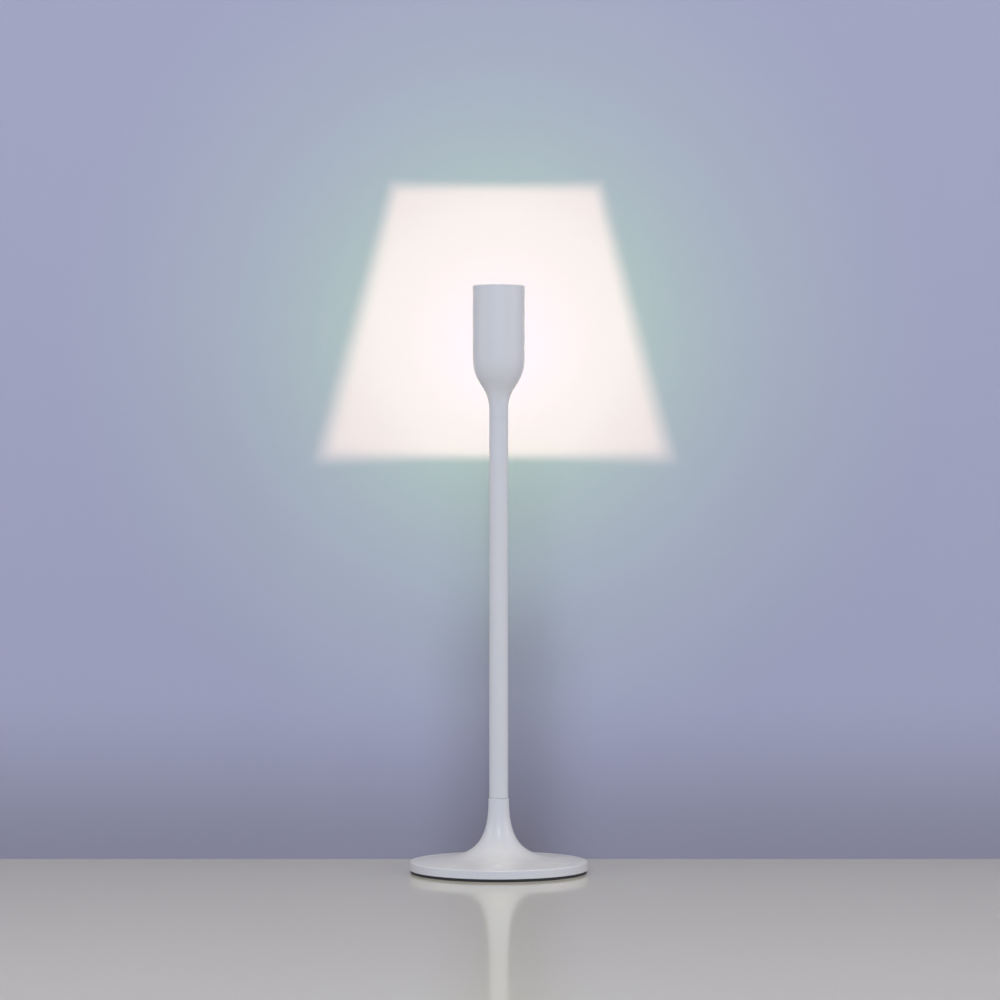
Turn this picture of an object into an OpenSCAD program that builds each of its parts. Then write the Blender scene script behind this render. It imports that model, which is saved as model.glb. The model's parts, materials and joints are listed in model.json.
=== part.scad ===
// Table lamp without a physical shade. A lampholder-shaped head on a slim stem hides an LED that
// shines backwards through a cut window, and its mask throws the outline of a shade on the wall.
// Millimetres. Origin: middle of the underside. +Z is up, and +Y is towards the wall.

/* [Foot] */
// Diameter of the foot
foot_d = 125; // [110:1:150]
// Height of the foot, up to the seam under the stem
foot_h = 52; // [46:1:64]
// Height of the upright rim
rim_h = 6; // [6:0.5:9]
// Rounding of the rim's upper edge
rim_round = 1; // [0.4:0.1:1.6]
// Diameter of the collar that carries the stem
collar_d = 14.5; // [13.9:0.1:18]
// Radius where the flare runs out into the skirt
flare_r = 36.5; // [30:0.5:42]
// Rise of the skirt from the rim to the flare
skirt_rise = 2.8; // [2:0.1:5]
// Length over which the flare keeps to the collar
collar_pull = 26.8; // [20:0.2:32]
// Length over which the flare keeps to the skirt
skirt_pull = 22.5; // [16:0.5:26]
// Wall of the foot casting
foot_wall = 2.2; // [1.8:0.1:2.6]
// Height of the seat for the nut in the foot
seat_z = 26; // [24:0.5:30]

/* [Pad, plate and ballast] */
// Thickness of the rubber ring under the foot
pad_t = 2; // [1.8:0.1:4]
// Width of the rubber ring
pad_w = 11; // [6:0.5:13]
// Set-back of the rubber ring from the rim
pad_inset = 0.8; // [0.4:0.1:2]
// Thickness of the bottom plate
plate_t = 1; // [0.8:0.1:1.2]
// Width of the lip that hides the plate's edge
lip_w = 1.8; // [1.2:0.1:2.6]
// Width of the rim where the plate rests
ledge_w = 4; // [3:0.1:5.5]
// Inner diameter of the ballast ring
ballast_bore_d = 52; // [46:1:60]

/* [Cord entry] */
// Bore of the grommet for the supply cord
cord_bore_d = 3.2; // [2.8:0.1:3.4]
// Rubber round the cord
grommet_wall = 0.6; // [0.5:0.1:0.7]
// Rubber under the cord
grommet_floor = 0.4; // [0.3:0.1:0.6]

/* [Stem] */
// Outer diameter of the stem
stem_d = 13.4; // [12.8:0.1:15]
// Length of the stem
stem_len = 267; // [200:1:400]
// Wall of the stem
stem_wall = 1; // [0.8:0.1:1.2]
// Length of each ferrule inside the stem
ferrule_len = 20; // [14:1:30]
// Diameter of the two-core cable inside the stem
cable_d = 3.2; // [2.6:0.1:3.6]

/* [Head] */
// Height of the head above its seam
head_h = 92.6; // [91:0.2:110]
// Diameter of the head
head_d = 36.6; // [34:0.2:42]
// Diameter of the neck
neck_d = 13.3; // [12.8:0.1:14.8]
// Straight length of the neck
neck_len = 6; // [4:0.5:8]
// Rounding from the funnel into the neck
funnel_round = 27; // [20:0.5:34]
// Straight length of the funnel
funnel_len = 5.2; // [2:0.2:10]
// Rounding from the funnel into the cylinder
shoulder_round = 31; // [22:0.5:36]
// Wall of the head
head_wall = 1.6; // [1.3:0.1:2]
// Rounding of the head's top edge
top_round = 0.3; // [0.2:0.1:0.8]
// Depth of the cap below the head's top edge
cap_sink = 0.6; // [0.3:0.1:1.2]
// Thickness of the cap
cap_t = 4; // [3.6:0.1:5]

/* [Swivel] */
// Travel of the head to each side, in degrees
swivel_limit = 90; // [30:5:150]
// Diameter of the hollow spindle that the head turns on
spindle_d = 7; // [6.6:0.1:7.4]
// Length of the bearing in the neck
bearing_len = 18; // [14:0.5:20]
// Thickness of the glide washer that shows as the seam
glide_t = 0.4; // [0.3:0.1:0.8]

/* [Light] */
// Distance from the lamp's axis to the wall
wall_distance = 85; // [80:1:110]
// Width of the thrown shade at its lower edge
shade_low_w = 252; // [200:2:300]
// Width of the thrown shade at its upper edge
shade_top_w = 149; // [110:1:200]
// Height of the thrown shade
shade_h = 197; // [150:1:200]
// Height of the LED above the ledge inside the head
led_rise = 22; // [20:0.5:24]
// Height of the LED above the middle of the thrown shade, measured on the wall
led_offset = -9.5; // [-14:0.5:0]
// Thickness of the black light mask
mask_t = 0.5; // [0.4:0.1:0.8]
// Thickness of the clear window cover
cover_t = 1; // [0.8:0.1:1.4]
// Margin of the window round the beam
window_margin = 1; // [0.5:0.1:1.2]

/* [Hidden] */
$fn = 96;
// Overrun of a cut past the face that it opens
over = 1;
// Clearance of a part that slides into a seat, and of a shaft that turns in a bore
slide_gap = 0.1;
run_gap = 0.05;
// Length of a thread or a cable past what it comes through
end_out = 2;
// Steps along a curved outline
curve_steps = 28;
round_steps = 6;

// Foot, seen as a half outline
foot_r = foot_d / 2;
collar_r = collar_d / 2;
collar_chamfer = 0.25;
rim_top = pad_t + rim_h;
flare_z = rim_top + skirt_rise;
skirt_run = foot_r - rim_round - flare_r;
skirt_lean = atan2(skirt_rise, skirt_run);
flare_handles = [
    [collar_r, foot_h],
    [collar_r, foot_h - collar_pull],
    [flare_r - skirt_pull * cos(skirt_lean), flare_z + skirt_pull * sin(skirt_lean)],
    [flare_r, flare_z]
];

// Plate, ring and ballast
plate_top = pad_t + plate_t;
plate_recess_r = foot_r - lip_w;
cavity_r = foot_r - ledge_w;
pad_r = foot_r - pad_inset;
ballast_r = cavity_r - 2 * slide_gap;
boss_r = 4;
boss_count = 3;
boss_turn = 30;
boss_ring_r = (ballast_r + ballast_bore_d / 2) / 2;
plate_screw_r = 1.5;
plate_screw_len = 6;
plate_screw_head_r = 2.8;
plate_screw_head_h = 1.5;

// Cord entry
cord_r = cord_bore_d / 2;
grommet_r = cord_r + grommet_wall;
cord_z = plate_top + grommet_floor + cord_r;
grommet_sink = 0.3;
cord_room = 1;
cord_channel_w = 2 * (grommet_r + cord_room);

// Stem and ferrules
stem_r = stem_d / 2;
stem_bore_r = stem_r - stem_wall;
stem_chamfer = 0.1;
seam_chamfer = 0.5;
stem_top = foot_h + stem_len;
spigot_r = 4;
cable_r = cable_d / 2;
cable_room = 0.6;
cable_bore_r = cable_r + cable_room;
foot_nut_flats = 12;
foot_nut_h = 4;
lock_washer_r = 6.6;
lock_washer_t = 0.8;
spigot_bottom = seat_z - lock_washer_t - foot_nut_h - end_out;

// Swivel
spindle_r = spindle_d / 2;
bearing_r = spindle_r + run_gap;
head_z = stem_top + glide_t;
head_floor = head_z + bearing_len;
crinkle_t = 0.8;
crinkle_r = 5.6;
swivel_nut_h = 3;
swivel_nut_r = 6;
spanner_slot_w = 1.2;
spindle_top = head_floor + crinkle_t + swivel_nut_h + end_out;
glide_inset = 0.1;
stop_pin_r = 0.6;
stop_pin_up = 2;
stop_pin_down = 4;
stop_ring_r = (bearing_r + stem_bore_r) / 2 + slide_gap;
stop_groove_w = 2 * (stop_pin_r + slide_gap);
stop_groove_reach = swivel_limit + asin((stop_pin_r + slide_gap) / stop_ring_r);
stop_groove_depth = stop_pin_up - glide_t + slide_gap;

// Head, seen as a half outline: neck, funnel and cylinder joined by two arcs
head_r = head_d / 2;
neck_r = neck_d / 2;
head_top = head_z + head_h;
arcs_r = shoulder_round + funnel_round;
funnel_lean = atan2(arcs_r, funnel_len)
    + asin((head_r - neck_r - arcs_r) / norm([arcs_r, funnel_len]));
neck_top = head_z + neck_len;
funnel_foot = [neck_r + funnel_round * (1 - cos(funnel_lean)), neck_top + funnel_round * sin(funnel_lean)];
funnel_head = funnel_foot + funnel_len * [sin(funnel_lean), cos(funnel_lean)];
shoulder_z = funnel_head[1] + shoulder_round * sin(funnel_lean);

// Inside of the head
bore_r = head_r - head_wall;
ledge_z = shoulder_z - head_wall / 2;
cap_top = head_top - cap_sink;
cap_z = cap_top - cap_t;
insert_h = cap_z - ledge_z;
insert_r = bore_r - slide_gap;
cover_r = insert_r;
mask_r = cover_r - cover_t - slide_gap;
cap_screw_r = 1.25;
cap_screw_len = 3.4;
cap_screw_turn = 70;
cap_screw_sink = 0.3;
cap_screw_key = 1.3;
cap_screw_key_depth = 1.2;
cap_chamfer = 0.3;

// Light: the stack on the heat sink ends with the LED's face on the axis
led_z = ledge_z + led_rise;
led_t = 0.8;
led_w = 5;
led_dome_r = 1.75;
board_t = 1.2;
board_w = 18;
board_h = 32;
thermal_pad_t = 0.3;
board_y = -led_t;
sink_y = board_y - board_t - thermal_pad_t;
board_screw_r = 1;
board_screw_head_r = 1.9;
board_screw_head_h = 1.3;
board_screw_len = 6;
board_screw_rise = 11.5;
fin_gap = 1.2;
fin_web = 1.6;
fin_count = 2;
shade_mid = led_z - led_offset;
beam_spread = wall_distance / head_r;

// Wires from the cable's end to the pads at the foot of the board
wire_r = 0.6;
wire_start_x = cable_r / 2;
wire_end_x = board_w / 4;
wire_steps = 14;
wire_sides = 8;
wire_pad_rise = 3;
cable_top = spindle_top + end_out;
wire_gap = 0.3;

// Driver in the foot
driver_len = 36;
driver_w = 20;
driver_t = 1.2;
spacer_h = 2.6;
spacer_r = 2.2;
driver_z = plate_top + spacer_h;
driver_top = driver_z + driver_t;
driver_hole_x = 8;
driver_hole_y = 14.5;
driver_screw_r = 1;
driver_screw_head_r = 1.9;
driver_screw_head_h = 1.3;
terminal_w = 10;
terminal_d = 8;
terminal_h = 7.6;
terminal_chamfer = 1.4;
terminal_screw_r = 1.6;
terminal_screw_depth = 0.8;
terminal_mouth_r = 1.2;
terminal_inset = 1;
terminal_mid = driver_len / 2 - terminal_inset - terminal_d / 2;
mouth_depth = 4;
core_z = driver_top + terminal_h / 2;
core_pitch = terminal_w / 2;
core_r = 0.5;
cable_bend_r = 2 * cable_d;
choke_r = 3.6;
choke_flange_t = 0.8;
choke_h = 5;
choke_shares = [0.31, -0.045];
capacitor_r = 3;
capacitor_h = 7;
capacitor_sleeve_t = 0.15;
capacitor_shares = [-0.31, 0.035];
chip_size = [5, 4, 1.5];
chip_shares = [0.25, 0.15];

function bezier(p, t) =
    pow(1 - t, 3) * p[0] + 3 * pow(1 - t, 2) * t * p[1] + 3 * (1 - t) * t * t * p[2] + pow(t, 3) * p[3];
function bezier_slope(p, t) =
    pow(1 - t, 2) * (p[1] - p[0]) + 2 * (1 - t) * t * (p[2] - p[1]) + t * t * (p[3] - p[2]);
function arc(centre, r, from, to, steps) =
    [for (i = [0:steps]) let (a = from + (to - from) * i / steps) centre + r * [cos(a), sin(a)]];
function turned(v) = [v[1], -v[0]] / norm(v);
function reversed(points) = [for (i = [len(points) - 1:-1:0]) points[i]];
function smooth(t) = t * t * (3 - 2 * t);

// The flare's outer line and the line one wall inside it, both from the collar down
flare_line = [for (i = [0:curve_steps]) bezier(flare_handles, i / curve_steps)];
flare_inside = [
    for (i = [0:curve_steps]) let (t = i / curve_steps)
        bezier(flare_handles, t) + foot_wall * turned(bezier_slope(flare_handles, t))
];
seat_r = lookup(seat_z, [for (p = flare_inside) [p[1], p[0]]]);
function skirt_inside(r) = flare_z + (flare_r - r) * tan(skirt_lean) - foot_wall / cos(skirt_lean);

// A flat outline in X and Z, drawn out along Y
module run_y(from, to) {
    translate([0, to, 0]) rotate([90, 0, 0]) linear_extrude(to - from) children();
}

// Copies round the vertical axis
module ring_of(count, r, start = 0) {
    for (i = [0:count - 1]) rotate(start + 360 * i / count) translate([r, 0, 0]) children();
}

// A straight wire between two points, with a round end
module rod(from, to, r) {
    way = to - from;
    translate(from) rotate([0, acos(way[2] / norm(way)), atan2(way[1], way[0])])
        cylinder(r = r, h = norm(way));
    translate(to) sphere(r = r);
}

module tube(r_out, r_in, h) {
    difference() {
        cylinder(r = r_out, h = h);
        translate([0, 0, -over]) cylinder(r = r_in, h = h + 2 * over);
    }
}

module pan_screw(r, len, head_r, head_h, slot) {
    difference() {
        union() {
            cylinder(r = r, h = len);
            translate([0, 0, -head_h]) cylinder(r = head_r, h = head_h);
        }
        translate([0, 0, -head_h]) for (a = [0, 90])
            rotate(a) cube([head_r, slot, head_h], center = true);
    }
}

// FOOT

module foot_outline() {
    polygon(concat(
        [[0, pad_t], [foot_r, pad_t]],
        arc([foot_r - rim_round, rim_top - rim_round], rim_round, 0, 90 - skirt_lean, round_steps),
        reversed([for (p = flare_line) if (p[1] < foot_h - collar_chamfer) p]),
        [[collar_r, foot_h - collar_chamfer], [collar_r - collar_chamfer, foot_h], [0, foot_h]]
    ));
}

module foot_cavity() {
    polygon(concat(
        [[0, pad_t - over], [plate_recess_r, pad_t - over], [plate_recess_r, plate_top],
         [cavity_r, plate_top], [cavity_r, skirt_inside(cavity_r)]],
        reversed([for (p = flare_inside) if (p[1] < seat_z) p]),
        [[seat_r, seat_z], [0, seat_z]]
    ));
}

module grommet_arch() {
    translate([0, cord_z]) intersection() {
        circle(r = grommet_r);
        translate([-grommet_r, 0]) square([2 * grommet_r, grommet_r]);
    }
    translate([-grommet_r, plate_top]) square([2 * grommet_r, cord_z - plate_top]);
}

module foot_casting() {
    boss_top = skirt_inside(boss_ring_r - boss_r) + foot_wall / 4;
    color("white") difference() {
        union() {
            difference() {
                rotate_extrude() foot_outline();
                rotate_extrude() foot_cavity();
            }
            ring_of(boss_count, boss_ring_r, boss_turn)
                translate([0, 0, plate_top]) cylinder(r = boss_r, h = boss_top - plate_top);
        }
        translate([0, 0, seat_z - over])
            cylinder(r = spigot_r + slide_gap, h = foot_h - seat_z + 2 * over);
        ring_of(boss_count, boss_ring_r, boss_turn) translate([0, 0, plate_top - over])
            cylinder(r = plate_screw_r, h = over + plate_screw_len - plate_t);
        run_y(cavity_r - over, foot_r + over) grommet_arch();
        run_y(plate_recess_r - over, foot_r + over)
            translate([-grommet_r, pad_t - over]) square([2 * grommet_r, plate_t + over]);
    }
}

module ballast_ring() {
    gap = 2 * slide_gap;
    bore = ballast_bore_d / 2;
    color("dimgray") difference() {
        rotate_extrude() polygon([
            [bore, plate_top],
            [ballast_r, plate_top],
            [ballast_r, skirt_inside(ballast_r) - gap],
            [flare_r, skirt_inside(flare_r) - gap],
            [bore, skirt_inside(flare_r) - gap]
        ]);
        ring_of(boss_count, boss_ring_r, boss_turn)
            translate([0, 0, pad_t]) cylinder(r = boss_r + gap, h = foot_h);
        translate([-cord_channel_w / 2, 0, pad_t]) cube([cord_channel_w, foot_r, foot_h]);
    }
}

module bottom_plate() {
    color("dimgray") difference() {
        translate([0, 0, pad_t]) cylinder(r = plate_recess_r - slide_gap, h = plate_t);
        ring_of(boss_count, boss_ring_r, boss_turn)
            translate([0, 0, pad_t - over]) cylinder(r = plate_screw_r + slide_gap, h = plate_t + 2 * over);
        for (s = [-1, 1]) translate([s * driver_hole_x, s * driver_hole_y, pad_t - over])
            cylinder(r = driver_screw_r, h = plate_t + 2 * over);
    }
}

module plate_screws() {
    color("silver") ring_of(boss_count, boss_ring_r, boss_turn) translate([0, 0, pad_t])
        pan_screw(plate_screw_r, plate_screw_len, plate_screw_head_r, plate_screw_head_h,
            plate_screw_r / 2);
}

module foot_pad() {
    color("black") tube(pad_r, pad_r - pad_w, pad_t);
}

module cord_grommet() {
    face = foot_r - grommet_sink;
    color("black") difference() {
        union() {
            run_y(cavity_r, face) grommet_arch();
            run_y(plate_recess_r, face)
                translate([-grommet_r, pad_t]) square([2 * grommet_r, plate_t]);
        }
        run_y(cavity_r - over, foot_r) translate([0, cord_z]) circle(r = cord_r);
    }
}

// DRIVER

module driver_board() {
    color("darkgreen") difference() {
        translate([-driver_w / 2, -driver_len / 2, driver_z]) cube([driver_w, driver_len, driver_t]);
        for (s = [-1, 1]) translate([s * driver_hole_x, s * driver_hole_y, driver_z - over])
            cylinder(r = driver_screw_r, h = driver_t + 2 * over);
    }
}

module driver_spacers() {
    color("ivory") for (s = [-1, 1]) translate([s * driver_hole_x, s * driver_hole_y, plate_top])
        tube(spacer_r, driver_screw_r, spacer_h);
}

module driver_screws() {
    color("silver") for (s = [-1, 1]) translate([s * driver_hole_x, s * driver_hole_y, driver_top])
        rotate([180, 0, 0]) pan_screw(driver_screw_r, driver_top - pad_t,
            driver_screw_head_r, driver_screw_head_h, driver_screw_r / 2);
}

// A two-way terminal block round the given middle, its wire mouths towards +Y
module terminal(mid) {
    face = mid + terminal_d / 2;
    back = mid - terminal_d / 2;
    shoulder = terminal_h - terminal_chamfer;
    color("seagreen") difference() {
        translate([terminal_w / 2, 0, driver_top]) rotate([0, -90, 0]) linear_extrude(terminal_w) polygon([
            [0, back], [0, face], [shoulder, face], [terminal_h, face - terminal_chamfer],
            [terminal_h, back + terminal_chamfer], [shoulder, back]
        ]);
        for (s = [-1, 1]) translate([s * core_pitch / 2, 0, core_z]) {
            translate([0, mid, terminal_h / 2 - terminal_screw_depth])
                cylinder(r = terminal_screw_r, h = terminal_screw_depth + over);
            translate([0, face - mouth_depth, 0])
                rotate([-90, 0, 0]) cylinder(r = terminal_mouth_r, h = mouth_depth + over);
        }
    }
}

module input_terminal() {
    terminal(terminal_mid);
}

module output_terminal() {
    terminal(-terminal_mid);
}

// Where a part of the driver stands, from its shares of the board's width and length
module on_driver(shares) {
    translate([shares[0] * driver_w, shares[1] * driver_len, driver_top]) children();
}

module driver_choke() {
    color("saddlebrown") on_driver(choke_shares) {
        cylinder(r = choke_r, h = choke_flange_t);
        cylinder(r = choke_r - choke_flange_t, h = choke_h);
        translate([0, 0, choke_h - choke_flange_t]) cylinder(r = choke_r, h = choke_flange_t);
    }
}

module driver_capacitor() {
    color("midnightblue") on_driver(capacitor_shares) difference() {
        cylinder(r = capacitor_r, h = capacitor_h);
        translate([0, 0, capacitor_h - capacitor_sleeve_t])
            cylinder(r = capacitor_r - 2 * capacitor_sleeve_t, h = over);
    }
}

module driver_chip() {
    color("black") on_driver(chip_shares)
        translate([-chip_size[0] / 2, -chip_size[1] / 2, 0]) cube(chip_size);
}

// STEM

module lower_ferrule() {
    color("goldenrod") difference() {
        union() {
            translate([0, 0, foot_h]) cylinder(r = stem_bore_r, h = ferrule_len);
            translate([0, 0, spigot_bottom]) cylinder(r = spigot_r, h = foot_h - spigot_bottom + over);
        }
        translate([0, 0, spigot_bottom - over])
            cylinder(r = cable_bore_r, h = foot_h - spigot_bottom + ferrule_len + 2 * over);
    }
}

module foot_lock_washer() {
    color("silver") translate([0, 0, seat_z - lock_washer_t])
        tube(lock_washer_r, spigot_r, lock_washer_t);
}

module foot_nut() {
    color("silver") translate([0, 0, seat_z - lock_washer_t - foot_nut_h]) difference() {
        cylinder(r = foot_nut_flats / 2 / cos(30), h = foot_nut_h, $fn = 6);
        translate([0, 0, -over]) cylinder(r = spigot_r, h = foot_nut_h + 2 * over);
    }
}

module stem_tube() {
    color("white") rotate_extrude() polygon([
        [stem_bore_r, foot_h], [stem_r - seam_chamfer, foot_h], [stem_r, foot_h + seam_chamfer],
        [stem_r, stem_top - stem_chamfer], [stem_r - stem_chamfer, stem_top], [stem_bore_r, stem_top]
    ]);
}

module upper_ferrule() {
    color("goldenrod") difference() {
        union() {
            translate([0, 0, stem_top - ferrule_len]) cylinder(r = stem_bore_r, h = ferrule_len);
            translate([0, 0, stem_top - over]) cylinder(r = spindle_r, h = spindle_top - stem_top + over);
        }
        translate([0, 0, stem_top - ferrule_len - over])
            cylinder(r = cable_bore_r, h = spindle_top - stem_top + ferrule_len + 2 * over);
        translate([0, -stop_ring_r, stem_top - stop_pin_down])
            cylinder(r = stop_pin_r, h = stop_pin_down + over);
    }
}

module stop_pin() {
    color("silver") translate([0, -stop_ring_r, stem_top - stop_pin_down])
        cylinder(r = stop_pin_r, h = stop_pin_down + stop_pin_up);
}

module glide_washer() {
    color("gainsboro") difference() {
        translate([0, 0, stem_top]) tube(stem_r - glide_inset, spindle_r + run_gap, glide_t);
        translate([0, -stop_ring_r, stem_top - over])
            cylinder(r = stop_pin_r + run_gap, h = glide_t + 2 * over);
    }
}

module crinkle_washer() {
    color("silver") translate([0, 0, head_floor]) tube(crinkle_r, spindle_r + run_gap, crinkle_t);
}

module swivel_nut() {
    color("silver") translate([0, 0, head_floor + crinkle_t]) difference() {
        tube(swivel_nut_r, spindle_r, swivel_nut_h);
        translate([0, 0, swivel_nut_h])
            cube([3 * swivel_nut_r, spanner_slot_w, swivel_nut_h], center = true);
    }
}

// The cable down the stem, its bend over the driver and its two cores in the output terminal
module stem_cable() {
    bend_z = core_z + cable_bend_r;
    face = -terminal_mid + terminal_d / 2;
    color("whitesmoke") {
        translate([0, 0, bend_z]) cylinder(r = cable_r, h = cable_top - bend_z);
        translate([0, -cable_bend_r, bend_z]) rotate([-90, 0, 90])
            rotate_extrude(angle = 90) translate([cable_bend_r, 0]) circle(r = cable_r);
        for (s = [-1, 1]) {
            sheath_end = [s * cable_r / 2, core_r - cable_bend_r, core_z];
            mouth = [s * core_pitch / 2, face, core_z];
            rod(sheath_end, mouth, core_r);
            rod(mouth, mouth + [0, core_r - mouth_depth, 0], core_r);
        }
    }
}

// HEAD

// The neck's and funnel's outer line, from the seam up to the cylinder
head_line = concat(
    [[neck_r, head_z]],
    arc([neck_r + funnel_round, neck_top], funnel_round, 180, 180 - funnel_lean, curve_steps),
    arc([head_r - shoulder_round, shoulder_z], shoulder_round, -funnel_lean, 0, curve_steps)
);

module head_outline() {
    polygon(concat(
        [[0, head_z]],
        head_line,
        arc([head_r - top_round, head_top - top_round], top_round, 0, 90, round_steps),
        [[0, head_top]]
    ));
}

module head_cavity() {
    centre = [head_r - shoulder_round, shoulder_z];
    inner_round = shoulder_round - 2 * head_wall;
    ledge_r = centre[0] + sqrt(pow(inner_round, 2) - pow(shoulder_z - ledge_z, 2));
    floor_r = lookup(head_floor, [for (p = head_line) [p[1], p[0]]]) - head_wall;
    polygon(concat(
        [[0, head_floor], [floor_r, head_floor]],
        [for (p = arc(centre, inner_round, -funnel_lean, 0, curve_steps)) if (p[1] < ledge_z) p],
        [[ledge_r, ledge_z], [bore_r, ledge_z], [bore_r, head_top + over], [0, head_top + over]]
    ));
}

// The light's path, a pyramid from the LED to the shade's outline on the wall
module beam(margin) {
    grow = margin * beam_spread;
    low = shade_low_w / 2 + grow;
    top = shade_top_w / 2 + grow;
    z_low = shade_mid - shade_h / 2 - grow;
    z_top = shade_mid + shade_h / 2 + grow;
    polyhedron(
        points = [
            [0, 0, led_z],
            [-low, wall_distance, z_low], [low, wall_distance, z_low],
            [top, wall_distance, z_top], [-top, wall_distance, z_top]
        ],
        faces = [[2, 1, 0], [3, 2, 0], [4, 3, 0], [1, 4, 0], [1, 2, 3, 4]]
    );
}

// The two places of the cap's grub screws, to the left and right of the window
module at_cap_screws() {
    for (s = [-1, 1]) rotate(90 + s * cap_screw_turn) translate([0, 0, cap_z + cap_t / 2])
        rotate([0, 90, 0]) children();
}

module head_shell() {
    color("white") difference() {
        rotate_extrude() head_outline();
        rotate_extrude() head_cavity();
        translate([0, 0, head_z - over]) cylinder(r = bearing_r, h = bearing_len + 2 * over);
        rotate(-90 - stop_groove_reach) rotate_extrude(angle = 2 * stop_groove_reach)
            translate([stop_ring_r - stop_groove_w / 2, head_z - over])
                square([stop_groove_w, stop_groove_depth + over]);
        beam(window_margin);
        at_cap_screws() cylinder(r = cap_screw_r, h = head_r + over);
    }
}

module head_cap() {
    color("white") difference() {
        translate([0, 0, cap_z]) rotate_extrude() polygon([
            [0, 0], [insert_r, 0], [insert_r, cap_t - cap_chamfer],
            [insert_r - cap_chamfer, cap_t], [0, cap_t]
        ]);
        at_cap_screws() translate([0, 0, head_r - cap_screw_sink - cap_screw_len])
            cylinder(r = cap_screw_r, h = cap_screw_len + over);
    }
}

module cap_screws() {
    color("silver") at_cap_screws() translate([0, 0, head_r - cap_screw_sink - cap_screw_len]) difference() {
        cylinder(r = cap_screw_r, h = cap_screw_len);
        translate([0, 0, cap_screw_len - cap_screw_key_depth])
            cylinder(r = cap_screw_key / 2 / cos(30), h = cap_screw_key_depth + over, $fn = 6);
    }
}

module heat_sink() {
    fin_start = board_w / 2 + fin_gap;
    fin_end = fin_start + (2 * fin_count - 1) * fin_gap;
    fin_depth = sqrt(pow(insert_r, 2) - pow(fin_end, 2)) + sink_y - fin_web;
    color("dimgray") difference() {
        translate([0, 0, ledge_z]) cylinder(r = insert_r, h = insert_h);
        translate([-head_r, sink_y, ledge_z - over]) cube([head_d, head_d, insert_h + 2 * over]);
        for (s = [-1, 1]) {
            for (i = [0:fin_count - 1])
                translate([s * (fin_start + (2 * i + 0.5) * fin_gap) - fin_gap / 2,
                    sink_y - fin_depth, ledge_z - over])
                    cube([fin_gap, fin_depth + over, insert_h + 2 * over]);
            translate([0, sink_y + over, led_z + s * board_screw_rise])
                rotate([90, 0, 0]) cylinder(r = board_screw_r, h = board_screw_len + over);
        }
    }
}

module board_outline(t, from) {
    difference() {
        translate([-board_w / 2, from, led_z - board_h / 2]) cube([board_w, t, board_h]);
        for (s = [-1, 1]) translate([0, from + t + over, led_z + s * board_screw_rise])
            rotate([90, 0, 0]) cylinder(r = board_screw_r, h = t + 2 * over);
    }
}

module thermal_pad() {
    color("lightgray") board_outline(thermal_pad_t, sink_y);
}

module led_board() {
    color("white") board_outline(board_t, board_y - board_t);
}

module led_package() {
    color("gold") translate([-led_w / 2, board_y, led_z - led_w / 2]) cube([led_w, led_t, led_w]);
}

module led_dome() {
    color("khaki") translate([0, 0, led_z]) rotate([-90, 0, 0]) rotate_extrude() intersection() {
        circle(r = led_dome_r);
        square(led_dome_r);
    }
}

module board_screws() {
    color("silver") for (s = [-1, 1]) translate([0, board_y, led_z + s * board_screw_rise])
        rotate([90, 0, 0]) pan_screw(board_screw_r, board_screw_len, board_screw_head_r,
            board_screw_head_h, board_screw_r / 2);
}

// A wall curved round the axis, in front of the heat sink's flat face
module curved_wall(r, t) {
    difference() {
        translate([0, 0, ledge_z]) tube(r, r - t, insert_h);
        translate([-head_r, -head_d + sink_y, ledge_z - over]) cube([head_d, head_d, insert_h + 2 * over]);
    }
}

module light_mask() {
    color("black") difference() {
        curved_wall(mask_r, mask_t);
        beam(0);
    }
}

module window_cover() {
    color("aliceblue", 0.35) curved_wall(cover_r, cover_t);
}

// A round tube along a path that climbs, as one closed skin
module swept(path, r) {
    last = len(path) - 1;
    rings = [
        for (i = [0:last]) let (
            d = path[min(i + 1, last)] - path[max(i - 1, 0)],
            u = cross([0, 1, 0], d) / norm(cross([0, 1, 0], d)),
            v = cross(d, u) / norm(d)
        ) for (k = [0:wire_sides - 1]) let (a = 360 * k / wire_sides) path[i] + r * (cos(a) * u + sin(a) * v)
    ];
    sides = [
        for (i = [0:last - 1], k = [0:wire_sides - 1]) let (n = (k + 1) % wire_sides)
            [i * wire_sides + k, (i + 1) * wire_sides + k, (i + 1) * wire_sides + n, i * wire_sides + n]
    ];
    first_end = [for (k = [0:wire_sides - 1]) k];
    last_end = [for (k = [wire_sides - 1:-1:0]) last * wire_sides + k];
    polyhedron(points = rings, faces = concat(sides, [first_end, last_end]));
}

function wire_path(side) = let (
    start = [side * wire_start_x, 0, cable_top + wire_gap],
    end = [side * wire_end_x, board_y + wire_r, led_z - board_h / 2 + wire_pad_rise]
) [
    for (i = [0:wire_steps]) let (t = i / wire_steps, s = smooth(min(1, t / (1 - 2 / wire_steps))))
        [start[0] + (end[0] - start[0]) * s, start[1] + (end[1] - start[1]) * s,
         start[2] + (end[2] - start[2]) * t]
];

module red_wire() {
    color("red") swept(wire_path(1), wire_r);
}

module black_wire() {
    color("black") swept(wire_path(-1), wire_r);
}

foot_casting();
ballast_ring();
bottom_plate();
plate_screws();
foot_pad();
cord_grommet();
driver_board();
driver_choke();
driver_capacitor();
driver_chip();
input_terminal();
output_terminal();
driver_spacers();
driver_screws();
lower_ferrule();
foot_lock_washer();
foot_nut();
stem_tube();
upper_ferrule();
stop_pin();
glide_washer();
crinkle_washer();
swivel_nut();
stem_cable();
head_shell();
head_cap();
cap_screws();
heat_sink();
thermal_pad();
led_board();
led_package();
led_dome();
board_screws();
light_mask();
window_cover();
red_wire();
black_wire();
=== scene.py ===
"""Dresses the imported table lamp: finishes, fine parts, its own light, and the stage that it stands on."""
import json
from math import atan, atan2, cos, hypot, pi, radians, sin, sqrt, tau

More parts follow.
